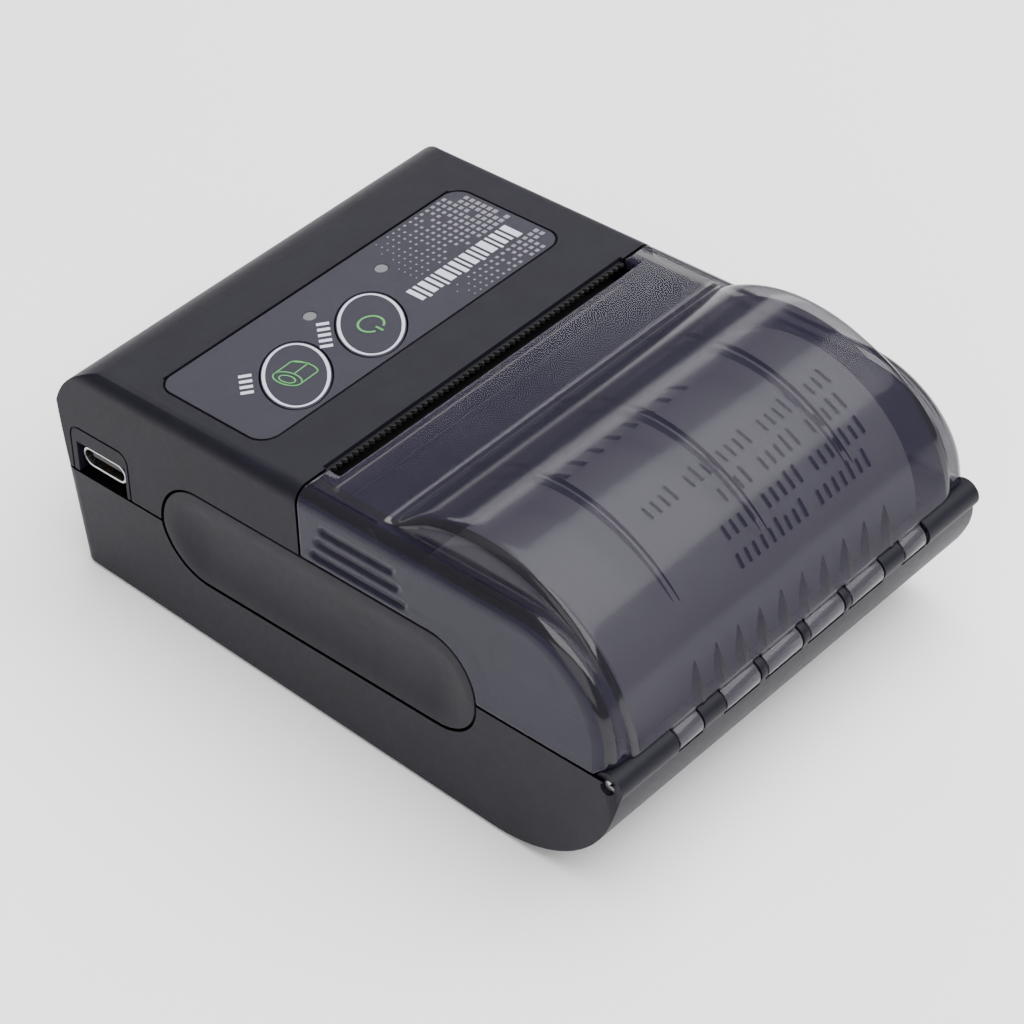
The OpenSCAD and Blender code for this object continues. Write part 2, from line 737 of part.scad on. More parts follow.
module mechanism_frame() color([0.13, 0.13, 0.14]) place() difference() {
    union() {
        along_x(-frame_out, -frame_in) frame_plate();
        along_x(frame_in, frame_out) frame_plate();
        // Base plate, front wall and rear beam
        box([-frame_out, wall_y0, mech_base_z], [frame_out, 6, mech_base_z + 1.4]);
        box([-frame_out, wall_y0, mech_base_z], [frame_out, wall_y1, 13.2]);
        box([-frame_out, 4, mech_base_z], [frame_out, 6, 0]);
    }
    for (p = mech_posts) translate([p[0], p[1], -6]) cylinder(r = screw_r + 0.15, h = 12);
    for (p = mech_posts) translate([p[0], p[1], mech_base_z + 1.4]) cylinder(r = head_r + 0.2, h = 12);
    for (p = [idler_at, compound_at]) bar_x(-60, -20, axle_r, p[0], p[1]);
    bar_x(-60, -20, axle_r + 0.3, motor_at[0], motor_at[1]);
    // The bottom of the platen and the motor body stay clear
    bar_x(-frame_in, motor_x1 + 2, motor_r + 0.1, motor_at[0], motor_at[1]);
}

module print_head() color([0.78, 0.79, 0.80]) place() difference() {
    union() {
        box([-28, head_back, 2], [28, head_face, 14.4]);
        bar_x(-29, 29, 1.9, pivot_y, pivot_z);
    }
    bar_x(-40, 40, 0.8 + running, pivot_y, pivot_z);
    // Cooling grooves on the spring side
    for (x = [-24:4:24]) if (abs(abs(x) - 16) > 4)
        box([x - 0.8, head_back - 1, 6], [x + 0.8, head_back + 0.8, 16]);
}

module heater_strip() color([0.88, 0.86, 0.80]) place()
    box([-28.4, head_face, 4.8], [28.4, platen_y - platen_r - 0.12, 14.2]);

module head_pivot_pin() color([0.75, 0.75, 0.77]) place()
    bar_x(-frame_out, frame_out, 0.8, pivot_y, pivot_z);

// Ring of the wire's outline at a share t of the spring's length
function ring_at(t, sides) = let (a = 360 * spring_turns * t, c = [spring_r * cos(a), spring_r * sin(a)])
    [for (i = [0:sides - 1]) let (b = 360 * i / sides)
        [(spring_r + wire_r * cos(b)) * cos(a), (spring_r + wire_r * cos(b)) * sin(a),
            wire_r + (spring_len - 2 * wire_r) * t + wire_r * sin(b)]];

module coil_spring() {
    sides = 6;
    rings = 12 * spring_turns;
    points = [for (k = [0:rings]) each ring_at(k / rings, sides)];
    walls = [for (k = [0:rings - 1], i = [0:sides - 1]) let (j = (i + 1) % sides)
        [k * sides + i, (k + 1) * sides + i, (k + 1) * sides + j, k * sides + j]];
    polyhedron(points, concat(walls, [[for (i = [0:sides - 1]) i]],
        [[for (i = [sides - 1:-1:0]) rings * sides + i]]), convexity = 10);
}

module head_springs() color([0.75, 0.75, 0.77]) place() for (x = [-16, 16])
    translate([x, wall_y1, 11]) rotate([-90, 0, 0]) coil_spring();

module paper_sensor() color([0.1, 0.1, 0.1]) place() box([-2, 0.8, mech_base_z + 1.4], [2, 3.6, 0.6]);

// Screw with its head on top of z = 0, above a shank of a given length
module screw_down(shank) difference() {
    union() {
        cylinder(r = head_r, h = 1.2);
        translate([0, 0, -shank]) cylinder(r = screw_r, h = shank + 0.1);
    }
    translate([0, 0, 1.2]) mirror([0, 0, 1]) cross_recess(0.8);
}

module mechanism_screws() color([0.75, 0.75, 0.77]) place() for (p = mech_posts)
    translate([p[0], p[1], mech_base_z + 1.4]) screw_down(5.4);

// ---------- Electronics ----------

module main_board() color([0.05, 0.30, 0.16]) place() difference() {
    box([-30.5, -49.8, board_z], [34.1, -16.8, board_z + board_t]);
    for (p = case_screws_at) translate([p[0], p[1], -5]) cylinder(r = boss_r + 0.4, h = 10);
    for (s = [-1, 1]) {
        translate([s * front_screw_x - boss_r - 0.4, -54, -5]) cube([2 * boss_r + 0.8, 5, 10]);
        translate([s > 0 ? rear_screw_x : -rear_screw_x - 8, rear_screw_y - boss_r - 0.4, -5])
            cube([8, 2 * boss_r + 0.8, 10]);
    }
    for (p = board_posts) translate([p[0], p[1], -5]) cylinder(r = screw_r + 0.15, h = 10);
    // The board ends clear of the grips' backing plates and the drive gears
    box([grip_backing - 0.3, grip_front - 2, -5], [40, -10, 5]);
    box([-40, -20, -5], [-27.5, -10, 5]);
}

module board_chips() color([0.08, 0.08, 0.09]) place() translate([0, 0, board_z + board_t]) {
    translate([-20, -44, 0]) cube([10, 10, 1.4]);
    translate([-4, -44, 0]) cube([14, 9, 2]);
    translate([-22, -27, 0]) cube([6, 5, 1.2]);
    translate([16, -34, 0]) cube([5, 4, 1.1]);
    translate([-12, -27, 0]) cube([4, 4, 1]);
}

module usb_outline(r, half) {
    for (s = [-1, 1]) translate([s * half, 0]) circle(r);
    translate([-half, -r]) square([2 * half, 2 * r]);
}

module usb_c_shell() color([0.78, 0.78, 0.80]) place() translate([0, usb_y, usb_z])
    difference() {
        along_x(28.3, 35.6) usb_outline(1.63, 2.84);
        along_x(29.3, 40) usb_outline(1.33, 2.84);
    }

module usb_c_tongue() color([0.08, 0.08, 0.08]) place() translate([0, usb_y, usb_z])
    box([29.3, -3.3, -0.35], [35, 3.3, 0.35]);

module battery_pack() color([0.15, 0.35, 0.60]) place() {
    for (s = [-1, 1]) bar_x(-25.3, 23.6, cell_r, battery_y + s * (cell_r + 0.05), battery_z);
    box([-25.3, battery_y - cell_r, battery_z - 6], [23.6, battery_y + cell_r, battery_z + 6]);
}

module battery_lead() color([0.7, 0.1, 0.1]) place() {
    bar_x(23.6, 26.2, 0.8, battery_y + 8, battery_z + 3);
    translate([26.2, battery_y + 8, battery_z + 3]) sphere(r = 0.9);
    translate([26.2, battery_y + 8, battery_z + 3]) cylinder(r = 0.8, h = board_z - battery_z - 3);
}

module head_flex_cable() color([0.75, 0.45, 0.15]) place() {
    box([flex_x0, -16.2, 1.9], [flex_x1, wall_y0 - 0.2, 2.1]);
    box([flex_x0, -20.5, board_z + board_t], [flex_x1, -16.2, 2.4]);
    box([flex_x0, wall_y0 - 0.4, 1.9], [flex_x1, wall_y0 - 0.2, 6]);
}

// Screw with its head below z = 0 and its shank pointing up
module screw_up(head_h, shank) difference() {
    union() {
        translate([0, 0, -head_h]) cylinder(r = head_r, h = head_h);
        translate([0, 0, -0.1]) cylinder(r = screw_r, h = shank + 0.1);
    }
    translate([0, 0, -head_h]) cross_recess(0.8);
}

module case_screws() color([0.30, 0.30, 0.32]) place() for (p = case_screws_at)
    translate([p[0], p[1], head_seat_z]) screw_up(1.5, 12);

module board_screws() color([0.75, 0.75, 0.77]) place() for (p = board_posts)
    translate([p[0], p[1], board_z + board_t]) screw_down(5.5);

module door_screw() color([0.30, 0.30, 0.32]) place()
    translate([door_screw_at[0], door_screw_at[1], door_head_z]) screw_up(0.3, 5.8);

lower_case();
upper_case();
side_grip_left();
side_grip_right();
control_overlay();
power_button();
feed_button();
light_pipes();
tear_bar();
paper_cover();
hinge_pin();
platen_shaft();
platen_roller();
platen_gear();
platen_bushings();
mechanism_frame();
print_head();
heater_strip();
head_pivot_pin();
head_springs();
stepper_motor();
motor_shaft();
motor_pinion();
compound_gear();
idler_gear();
gear_axles();
paper_sensor();
paper_roll();
paper_core();
main_board();
board_chips();
tact_switches();
status_leds();
usb_c_shell();
usb_c_tongue();
battery_pack();
battery_door();
head_flex_cable();
battery_lead();
case_screws();
board_screws();
mechanism_screws();
door_screw();
rubber_feet();
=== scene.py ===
"""Looks of the receipt printer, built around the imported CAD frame.

Dimensions are in millimetres in the case frame: the parting line is level at z = 0, +X is to
the right and +Y towards the hinge. place() takes them to the shared frame, in metres.
"""

import json
import math
import random

import bmesh
import bpy
from mathutils import Matrix, Vector

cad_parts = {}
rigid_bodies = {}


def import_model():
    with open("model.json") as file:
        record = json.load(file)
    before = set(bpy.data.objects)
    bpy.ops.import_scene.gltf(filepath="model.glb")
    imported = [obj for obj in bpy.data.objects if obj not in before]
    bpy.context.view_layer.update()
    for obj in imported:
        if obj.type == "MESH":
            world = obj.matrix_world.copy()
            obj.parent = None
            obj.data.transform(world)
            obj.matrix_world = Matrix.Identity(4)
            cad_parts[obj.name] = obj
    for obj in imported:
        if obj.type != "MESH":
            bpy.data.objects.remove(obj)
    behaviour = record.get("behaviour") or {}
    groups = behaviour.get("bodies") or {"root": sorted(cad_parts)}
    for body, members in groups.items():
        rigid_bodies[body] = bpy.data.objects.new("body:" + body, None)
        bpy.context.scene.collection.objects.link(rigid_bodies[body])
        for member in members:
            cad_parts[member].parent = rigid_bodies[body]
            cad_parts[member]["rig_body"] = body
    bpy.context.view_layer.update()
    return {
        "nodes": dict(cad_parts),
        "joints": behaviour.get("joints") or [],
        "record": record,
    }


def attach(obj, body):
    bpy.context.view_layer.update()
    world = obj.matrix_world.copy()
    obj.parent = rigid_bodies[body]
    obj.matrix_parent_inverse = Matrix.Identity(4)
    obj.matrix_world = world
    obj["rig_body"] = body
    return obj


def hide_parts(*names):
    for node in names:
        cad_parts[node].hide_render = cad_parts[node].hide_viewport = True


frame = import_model()

# ---------- Case frame, worked out from the record ----------

MM = 0.001
HINGE_Y, HINGE_Z = 50.9, -1.1         # hinge axis in the case frame

joints = {j["name"]: j for j in frame["joints"]}
hinge_at = Vector(joints["cover_hinge"]["pos_m"])
# A button is pressed square to the top, so its axis gives the tilt of the case
tilt = math.asin(joints["power_press"]["axis"][1])
turn = Matrix.Rotation(tilt, 4, "X")
offset = hinge_at - (turn @ Vector((0, HINGE_Y, HINGE_Z))) * MM
to_frame = Matrix.Translation(offset) @ turn @ Matrix.Scale(MM, 4)


def place(x, y, z):
    """Point of the case frame, in mm, as a point of the shared frame, in metres."""
    return to_frame @ Vector((x, y, z))


# ---------- Dimensions shared with the CAD ----------

HALF_W = 36.5                         # half width of the case at the parting line
DRAFT = math.radians(5.1)             # lean of the side walls
LEAN = math.tan(DRAFT)
TOP_Z = 18.3
SEAM = 0.2                            # half the gap between the case halves
SPLIT_Y = -3.0                        # front edge of the cover beside the paper slot
LIP_Y = -0.7                          # front edge of the cover behind the paper slot
SLOT_HALF = 29.0
SIDE_ROUND = 2.5
SHOULDER = (36.0, 3.3, 15.0)          # centre y, centre z, radius
BULGE = (27.5, 0.0, 24.2)             # centre y, centre z, radius
BULGE_HALF = 32.0
BULGE_FILLET = 5.0
BULGE_FOOT, BULGE_CROWN = 0.9, 2.0    # roundings at the foot and the crown of its ends
COVER_WALL = 1.5
GRIP_R = 8.05                         # radius of the grip's recess
GRIP_FRONT, GRIP_REAR = -23.7, 20.6   # centres of its round ends
PLATEN = (2.4, 9.8)                   # centre y, centre z
BUSHING_R = 2.8
LUG = (30.4, 31.4)                    # x limits of a bushing lug
PIN_R = 1.0
KNUCKLE_R = 2.0
KNUCKLES = ((0.9, 7.6), (9.3, 15.8), (20.4, 24.8))
BARRELS = ((25.0, 36.8), (15.8, 20.4), (7.6, 9.3))
BARREL_CLEAR = 2.45                   # radius of the room the cover leaves for a barrel
ROLL = (29.3, 0.35, 19.3)             # centre y, centre z, radius
PANEL = (-28.0, 30.8, -35.2, -13.3)   # x limits, y limits
BUTTON = (7.6, 4.9, 52.0)             # semi-axes and turn in degrees
BUTTON_Y = -21.1
POWER_X, FEED_X = 3.2, 17.5
USB = (-43.85, 3.1)                   # centre y, centre z of the inlet


# ---------- Mesh helpers ----------

def new_object(name, verts, faces, body, material, smooth=True, node=None, slot=None):
    """Mesh object from case-frame points; it rides on a body and may replace a CAD node."""
    mesh = bpy.data.meshes.new(name)
    mesh.from_pydata([place(*v) for v in verts], [], faces)
    mesh.update()
    obj = bpy.data.objects.new(name, mesh)
    bpy.context.scene.collection.objects.link(obj)
    bm = bmesh.new()
    bm.from_mesh(mesh)
    bmesh.ops.recalc_face_normals(bm, faces=bm.faces)
    bm.to_mesh(mesh)
    bm.free()
    for p in mesh.polygons:
        p.use_smooth = smooth
    if material:
        mesh.materials.append(material)
    if body:
        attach(obj, body)
    if node:
        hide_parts(node)
    return obj


def modifier(obj, kind, **values):
    """Adds a modifier and sets its values."""
    m = obj.modifiers.new(kind.lower(), kind)
    for key, value in values.items():
        setattr(m, key, value)


def apply_modifiers(obj):
    """Replaces the object's mesh by its evaluated one."""
    bpy.context.view_layer.update()
    graph = bpy.context.evaluated_depsgraph_get()
    mesh = bpy.data.meshes.new_from_object(obj.evaluated_get(graph))
    obj.modifiers.clear()
    obj.data = mesh


def shade_by_angle(mesh, degrees):
    """Smooth faces, with a crease at every edge sharper than the angle."""
    bm = bmesh.new()
    bm.from_mesh(mesh)
    limit = math.radians(degrees)
    for f in bm.faces:
        f.smooth = True
    for e in bm.edges:
        sharp = len(e.link_faces) == 2 and e.calc_face_angle(0) > limit
        e.smooth = not sharp
    bm.to_mesh(mesh)
    bm.free()


def tube_faces(loops, n):
    """Quads between loops of n points, each loop closed."""
    return [(k * n + i, k * n + (i + 1) % n, (k + 1) * n + (i + 1) % n, (k + 1) * n + i)
            for k in range(loops - 1) for i in range(n)]


def bar_faces(steps):
    """Faces of a closed bar with four points in each of its sections."""
    last = 4 * steps
    faces = []
    for a in range(0, last, 4):
        b = a + 4
        faces += [(a, a + 1, b + 1, b), (a + 1, a + 3, b + 3, b + 1),
                  (a + 3, a + 2, b + 2, b + 3), (a + 2, a, b, b + 2)]
    return faces + [(0, 2, 3, 1), (last, last + 1, last + 3, last + 2)]


def prism(outline, x0, x1):
    """Vertices and faces of a Y-Z outline extruded along X."""
    n = len(outline)
    verts = [(x, y, z) for x in (x0, x1) for y, z in outline]
    faces = [tuple(range(n)), tuple(range(2 * n - 1, n - 1, -1))]
    return verts, faces + tube_faces(2, n)


def ring(x0, x1, y, z, r_out, r_in, steps=48):
    """Vertices and faces of a tube along X."""
    verts, faces = [], []
    for x, r in ((x0, r_out), (x1, r_out), (x1, r_in), (x0, r_in)):
        for i in range(steps):
            a = 2 * math.pi * i / steps
            verts.append((x, y + r * math.cos(a), z + r * math.sin(a)))
    for k in range(4):
        for i in range(steps):
            j = (i + 1) % steps
            m = (k + 1) % 4
            faces.append((k * steps + i, k * steps + j, m * steps + j, m * steps + i))
    return verts, faces


def merged(parts):
    """One list of vertices and faces out of several."""
    verts, faces = [], []
    for v, f in parts:
        base = len(verts)
        verts += v
        faces += [tuple(base + i for i in face) for face in f]
    return verts, faces


def mirrored(part):
    """The same part on the other side of the case."""
    v, f = part
    return [(-x, y, z) for x, y, z in v], [tuple(reversed(face)) for face in f]


def arc(cx, cy, r, a0, a1, steps):
    """Points of an arc, angles in degrees."""
    out = []
    for i in range(steps + 1):
        a = math.radians(a0 + (a1 - a0) * i / steps)
        out.append((cx + r * math.cos(a), cy + r * math.sin(a)))
    return out


# ---------- Materials ----------

class Nodes:
    """Small helper to build a node material around one Principled shader."""

    def __init__(self, name):
        self.mat = bpy.data.materials.new(name)
        self.mat.use_nodes = True
        self.tree = self.mat.node_tree
        self.bsdf = self.tree.nodes["Principled BSDF"]
        self.coords = self.add("ShaderNodeTexCoord")

    def add(self, kind, **props):
        n = self.tree.nodes.new(kind)
        for k, v in props.items():
            setattr(n, k, v)
        return n

    def link(self, a, b):
        self.tree.links.new(a, b)

    def set(self, **values):
        for key, value in values.items():
            self.bsdf.inputs[key.replace("_", " ")].default_value = value

    def noise(self, scale, detail=3.0, rough=0.5, stretch=None):
        n = self.add("ShaderNodeTexNoise")
        n.inputs["Scale"].default_value = scale
        n.inputs["Detail"].default_value = detail
        n.inputs["Roughness"].default_value = rough
        source = self.coords.outputs["Object"]
        if stretch:
            m = self.add("ShaderNodeMapping")
            m.inputs["Scale"].default_value = stretch
            self.link(source, m.inputs["Vector"])
            source = m.outputs["Vector"]
        self.link(source, n.inputs["Vector"])
        return n.outputs["Fac"]

    def ramp(self, fac, stops):
        r = self.add("ShaderNodeValToRGB")
        r.color_ramp.elements[0].position = stops[0][0]
        r.color_ramp.elements[0].color = (*stops[0][1], 1)
        r.color_ramp.elements[1].position = stops[-1][0]
        r.color_ramp.elements[1].color = (*stops[-1][1], 1)
        for pos, col in stops[1:-1]:
            e = r.color_ramp.elements.new(pos)
            e.color = (*col, 1)
        self.link(fac, r.inputs["Fac"])
        return r.outputs["Color"]

    def bump(self, height, strength, distance):
        b = self.add("ShaderNodeBump")
        b.inputs["Strength"].default_value = strength
        b.inputs["Distance"].default_value = distance
        self.link(height, b.inputs["Height"])
        last = self.bsdf.inputs["Normal"]
        if last.links:
            self.link(last.links[0].from_socket, b.inputs["Normal"])
        self.link(b.outputs["Normal"], last)

    def range(self, fac, low, high):
        m = self.add("ShaderNodeMapRange")
        m.inputs["To Min"].default_value = low
        m.inputs["To Max"].default_value = high
        self.link(fac, m.inputs["Value"])
        return m.outputs["Result"]


def shade(colour, factor):
    """Colour made lighter or darker by a factor."""
    return tuple(min(1.0, c * factor) for c in colour)


def plastic(name, colour, rough=0.5, grain=9000, strength=0.25, vary=0.12, gloss=0.5):
    """Moulded plastic: fine spark-eroded grain, faint mottling and uneven gloss."""
    n = Nodes(name)
    mottle = n.noise(160, 2.0)
    n.link(n.ramp(mottle, [(0.3, shade(colour, 1 - vary)), (0.7, shade(colour, 1 + vary))]),
           n.bsdf.inputs["Base Color"])
    n.link(n.range(n.noise(900, 3.0), rough - 0.06, rough + 0.06), n.bsdf.inputs["Roughness"])
    n.bump(n.noise(grain, 2.0, 0.6), strength, 0.00004)
    n.set(Specular_IOR_Level=gloss)
    return n.mat


def metal(name, colour, rough=0.3, brush=(1, 60, 60)):
    """Ground or drawn metal with fine lines along one way."""
    n = Nodes(name)
    lines = n.noise(700, 4.0, 0.6, brush)
    n.link(n.ramp(lines, [(0.3, shade(colour, 0.8)), (0.7, shade(colour, 1.1))]),
           n.bsdf.inputs["Base Color"])
    n.link(n.range(lines, rough - 0.08, rough + 0.1), n.bsdf.inputs["Roughness"])
    n.bump(lines, 0.15, 0.00003)
    n.set(Metallic=1.0)
    return n.mat


def rubber(name, colour):
    """Matt moulded rubber with a powdery bloom."""
    n = Nodes(name)
    n.link(n.ramp(n.noise(400, 4.0), [(0.35, shade(colour, 0.8)), (0.65, shade(colour, 1.3))]),
           n.bsdf.inputs["Base Color"])
    n.link(n.range(n.noise(1500, 2.0), 0.55, 0.75), n.bsdf.inputs["Roughness"])
    n.bump(n.noise(6000, 3.0), 0.35, 0.00005)
    return n.mat


def smoked_plastic(name, colour, alpha, edge_alpha, rough, gloss):
    """Tinted clear plastic: see-through face on, denser and darker at a glancing angle."""
    n = Nodes(name)
    n.link(n.ramp(n.noise(60, 2.0), [(0.3, shade(colour, 0.92)), (0.7, shade(colour, 1.08))]),
           n.bsdf.inputs["Base Color"])
    n.link(n.range(n.noise(220, 3.0), rough, rough + 0.06), n.bsdf.inputs["Roughness"])
    w = n.add("ShaderNodeLayerWeight")
    w.inputs["Blend"].default_value = 0.3
    n.link(n.range(w.outputs["Facing"], alpha, edge_alpha), n.bsdf.inputs["Alpha"])
    n.bump(n.noise(45, 2.0), 0.05, 0.0002)
    n.set(IOR=1.5, Specular_IOR_Level=gloss)
    n.mat.surface_render_method = "DITHERED"
    return n.mat


def paper(name):
    """Coated paper with wound layers showing as fine rings on the ends of the roll."""
    radians_per_metre = 26000             # of radius, so a ring every 0.24 mm
    n = Nodes(name)
    from_axis = n.add("ShaderNodeVectorMath", operation="SUBTRACT")
    from_axis.inputs[1].default_value = place(0, ROLL[0], ROLL[1])
    n.link(n.coords.outputs["Object"], from_axis.inputs[0])
    flat = n.add("ShaderNodeVectorMath", operation="MULTIPLY")
    flat.inputs[1].default_value = (0, 1, 1)
    n.link(from_axis.outputs["Vector"], flat.inputs[0])
    radius = n.add("ShaderNodeVectorMath", operation="LENGTH")
    n.link(flat.outputs["Vector"], radius.inputs[0])
    wave = n.add("ShaderNodeMath", operation="MULTIPLY")
    wave.inputs[1].default_value = radians_per_metre
    n.link(radius.outputs["Value"], wave.inputs[0])
    sine = n.add("ShaderNodeMath", operation="SINE")
    n.link(wave.outputs["Value"], sine.inputs[0])
    layers = n.range(sine.outputs["Value"], 0, 1)
    fibre = n.noise(2500, 4.0, 0.7)
    n.link(n.ramp(fibre, [(0.3, (0.74, 0.74, 0.76)), (0.7, (0.86, 0.86, 0.87))]),
           n.bsdf.inputs["Base Color"])
    n.bump(layers, 0.25, 0.00006)
    n.bump(fibre, 0.1, 0.00004)
    n.set(Roughness=0.62)
    return n.mat


def card(name):
    """Grey-brown wound card with short fibres."""
    n = Nodes(name)
    fibres = n.noise(300, 5.0, 0.7, (4, 1, 1))
    n.link(n.ramp(fibres, [(0.3, (0.36, 0.28, 0.18)), (0.7, (0.55, 0.45, 0.32))]),
           n.bsdf.inputs["Base Color"])
    n.set(Roughness=0.85)
    n.bump(n.noise(900, 4.0), 0.3, 0.0001)
    return n.mat


def circuit_board(name):
    """Green solder mask with faint copper tracks below it."""
    n = Nodes(name)
    bricks = n.add("ShaderNodeTexBrick")
    bricks.inputs["Scale"].default_value = 420
    bricks.inputs["Mortar Size"].default_value = 0.012
    bricks.inputs["Color1"].default_value = (0.012, 0.085, 0.035, 1)
    bricks.inputs["Color2"].default_value = (0.015, 0.10, 0.045, 1)
    bricks.inputs["Mortar"].default_value = (0.05, 0.20, 0.09, 1)
    n.link(n.coords.outputs["Object"], bricks.inputs["Vector"])
    n.link(bricks.outputs["Color"], n.bsdf.inputs["Base Color"])
    n.link(n.range(n.noise(800), 0.25, 0.4), n.bsdf.inputs["Roughness"])
    return n.mat


def ink(name, colour, rough=0.5):
    """Screen-printed ink, with a slightly grainy film."""
    n = Nodes(name)
    n.link(n.ramp(n.noise(3000, 3.0), [(0.3, shade(colour, 0.93)), (0.7, shade(colour, 1.05))]),
           n.bsdf.inputs["Base Color"])
    n.bump(n.noise(8000, 2.0), 0.1, 0.00002)
    n.set(Roughness=rough)
    return n.mat


# Colours shared by several materials
BODY = (0.0068, 0.0062, 0.0108)
FILM = (0.0150, 0.0136, 0.0235)

M = {
    "case_plastic": plastic("case_plastic", BODY, 0.48, 7000, 0.35, 0.12, 0.13),
    # Painted shade for seams and gaps: the body colour darkened and made matt
    "painted_seam_shade": plastic("painted_seam_shade", shade(BODY, 0.15), 0.8, 7000, 0.35, 0.12, 0.03),
    "grip_rubber": plastic("grip_rubber", BODY, 0.54, 5200, 0.5, 0.12, 0.2),
    "panel_film": plastic("panel_film", FILM, 0.44, 9000, 0.2, 0.06, 0.2),
    "button_plastic": plastic("button_plastic", FILM, 0.44, 9000, 0.2, 0.06, 0.2),
    "clear_plastic": plastic("clear_plastic", (0.085, 0.085, 0.095), 0.3, 5000, 0.1, 0.06, 0.3),
    "dark_plastic": plastic("dark_plastic", (0.008, 0.008, 0.009), 0.45, 9000, 0.25, 0.12, 0.3),
    "smoked_cover": smoked_plastic("smoked_cover", (0.0158, 0.0134, 0.0262), 0.52, 0.95, 0.1, 0.19),
    # Painted shade: darker, denser copy of the cover plastic for its rounded edges
    "cover_edge_shade": smoked_plastic("cover_edge_shade", (0.007, 0.0066, 0.010), 0.84, 0.97, 0.07, 0.4),
    # Denser copy for the side walls; on the cut rims it is painted shade
    "cover_side": smoked_plastic("cover_side", (0.0175, 0.0155, 0.0295), 0.74, 0.95, 0.2, 0.2),
    # Painted shade: near-black copy of the cover plastic for the dark line of each rib
    "cover_rib": smoked_plastic("cover_rib", (0.0012, 0.0011, 0.0016), 0.97, 1.0, 0.12, 0.2),
    # Painted shade: darker copy of the cover plastic for the fins
    "cover_fin": smoked_plastic("cover_fin", (0.0050, 0.0046, 0.0068), 0.7, 0.8, 0.12, 0.25),
    # Painted sheen: lighter copy of the cover plastic for the knuckles
    "knuckle_painted_sheen": smoked_plastic("knuckle_painted_sheen", (0.044, 0.042, 0.052), 0.72, 0.9, 0.2, 0.3),
    "steel": metal("steel", (0.55, 0.55, 0.57)),
    "spring_steel": metal("spring_steel", (0.42, 0.42, 0.44), 0.35),
    "platen_rubber": rubber("platen_rubber", (0.014, 0.014, 0.015)),
    "gear_plastic": plastic("gear_plastic", (0.62, 0.62, 0.58), 0.4, 5000, 0.15, 0.04),
    "brass_pinion": metal("brass_pinion", (0.66, 0.46, 0.18), 0.28),
    "bushing_plastic": plastic("bushing_plastic", (0.55, 0.55, 0.52), 0.4, 5000, 0.15, 0.04),
    "head_aluminium": metal("head_aluminium", (0.13, 0.13, 0.14), 0.42, (60, 1, 1)),
    "ceramic": plastic("ceramic", (0.55, 0.53, 0.48), 0.2, 3000, 0.05, 0.03),
    "motor_steel": metal("motor_steel", (0.48, 0.49, 0.52), 0.3),
    "paper": paper("paper"),
    "core_tube": card("core_tube"),
    "board": circuit_board("board"),
    "chip_black": plastic("chip_black", (0.012, 0.012, 0.013), 0.5),
    "led_lens": plastic("led_lens", (0.7, 0.68, 0.45), 0.2, 5000, 0.1, 0.04),
    "plated_shell": metal("plated_shell", (0.52, 0.52, 0.54), 0.22),
    "battery_wrap": plastic("battery_wrap", (0.03, 0.10, 0.25), 0.3, 5000, 0.2, 0.05),
    "flex_film": plastic("flex_film", (0.42, 0.19, 0.03), 0.3, 5000, 0.1, 0.05),
    "lead_red": rubber("lead_red", (0.35, 0.02, 0.02)),
    "black_screw": metal("black_screw", (0.05, 0.05, 0.055), 0.4),
    "foot_rubber": rubber("foot_rubber", (0.012, 0.012, 0.012)),
}
INK_WHITE = ink("ink_white", (0.50, 0.50, 0.60))
INK_GREEN = ink("ink_green", (0.05, 0.26, 0.06))
INK_DOTS = ink("ink_dots", (0.15, 0.145, 0.175))
INK_BLACK = ink("ink_black", (0.06, 0.06, 0.065), 0.6)
GOLD = metal("contact_gold", (0.75, 0.52, 0.18), 0.25)

slot_of = {s["node"]: s["material_slot"] for s in frame["record"]["subparts"]}
for node, obj in frame["nodes"].items():
    obj.data.materials.clear()
    obj.data.materials.append(M[slot_of[node]])


# ---------- CAD nodes with softened edges ----------

BEVELS = {
    "upper_case": 0.14, "lower_case": 0.12, "battery_door": 0.12, "tear_bar": 0.06,
    "control_overlay": 0.06, "power_button": 0.12, "feed_button": 0.12, "mechanism_frame": 0.15,
    "print_head": 0.2, "usb_c_tongue": 0.1, "rubber_feet": 0.25, "heater_strip": 0.1,
    "main_board": 0.08, "board_chips": 0.08, "tact_switches": 0.1, "paper_sensor": 0.12,
    "battery_pack": 0.2, "platen_roller": 0.2, "platen_bushings": 0.12, "platen_shaft": 0.15,
    "hinge_pin": 0.15, "stepper_motor": 0.3, "case_screws": 0.05, "door_screw": 0.04,
    "paper_core": 0.1, "light_pipes": 0.08,
}


def soften(node, width):
    """Copy of a CAD node that replaces it, with rounded edges and flat large faces."""
    source = frame["nodes"][node]
    mesh = source.data.copy()
    mesh.name = node + "_soft"
    bm = bmesh.new()
    bm.from_mesh(mesh)
    bmesh.ops.remove_doubles(bm, verts=bm.verts, dist=2e-6)
    bmesh.ops.dissolve_limit(bm, angle_limit=math.radians(0.6), verts=bm.verts, edges=bm.edges)
    for e in bm.edges:
        e.smooth = True
    bm.to_mesh(mesh)
    bm.free()
    for p in mesh.polygons:
        p.use_smooth = True
    obj = bpy.data.objects.new(node + "_soft", mesh)
    bpy.context.scene.collection.objects.link(obj)
    modifier(obj, "BEVEL", width=width * MM, segments=2, limit_method="ANGLE",
             angle_limit=math.radians(32), use_clamp_overlap=True)
    modifier(obj, "WEIGHTED_NORMAL", keep_sharp=True, weight=100)
    apply_modifiers(obj)
    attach(obj, source["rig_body"])
    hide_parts(node)
    return obj


def paint_seam_shade(obj, inside):
    """Painted shade: gives the faces that look into a seam a matt, darker material, standing in for
    the shade that falls in the gap.
    """
    obj.data.materials.append(M["painted_seam_shade"])
    back = to_frame.inverted()
    unturn = turn.to_3x3().inverted()
    for p in obj.data.polygons:
        if inside(back @ p.center, unturn @ p.normal):
            p.material_index = 1


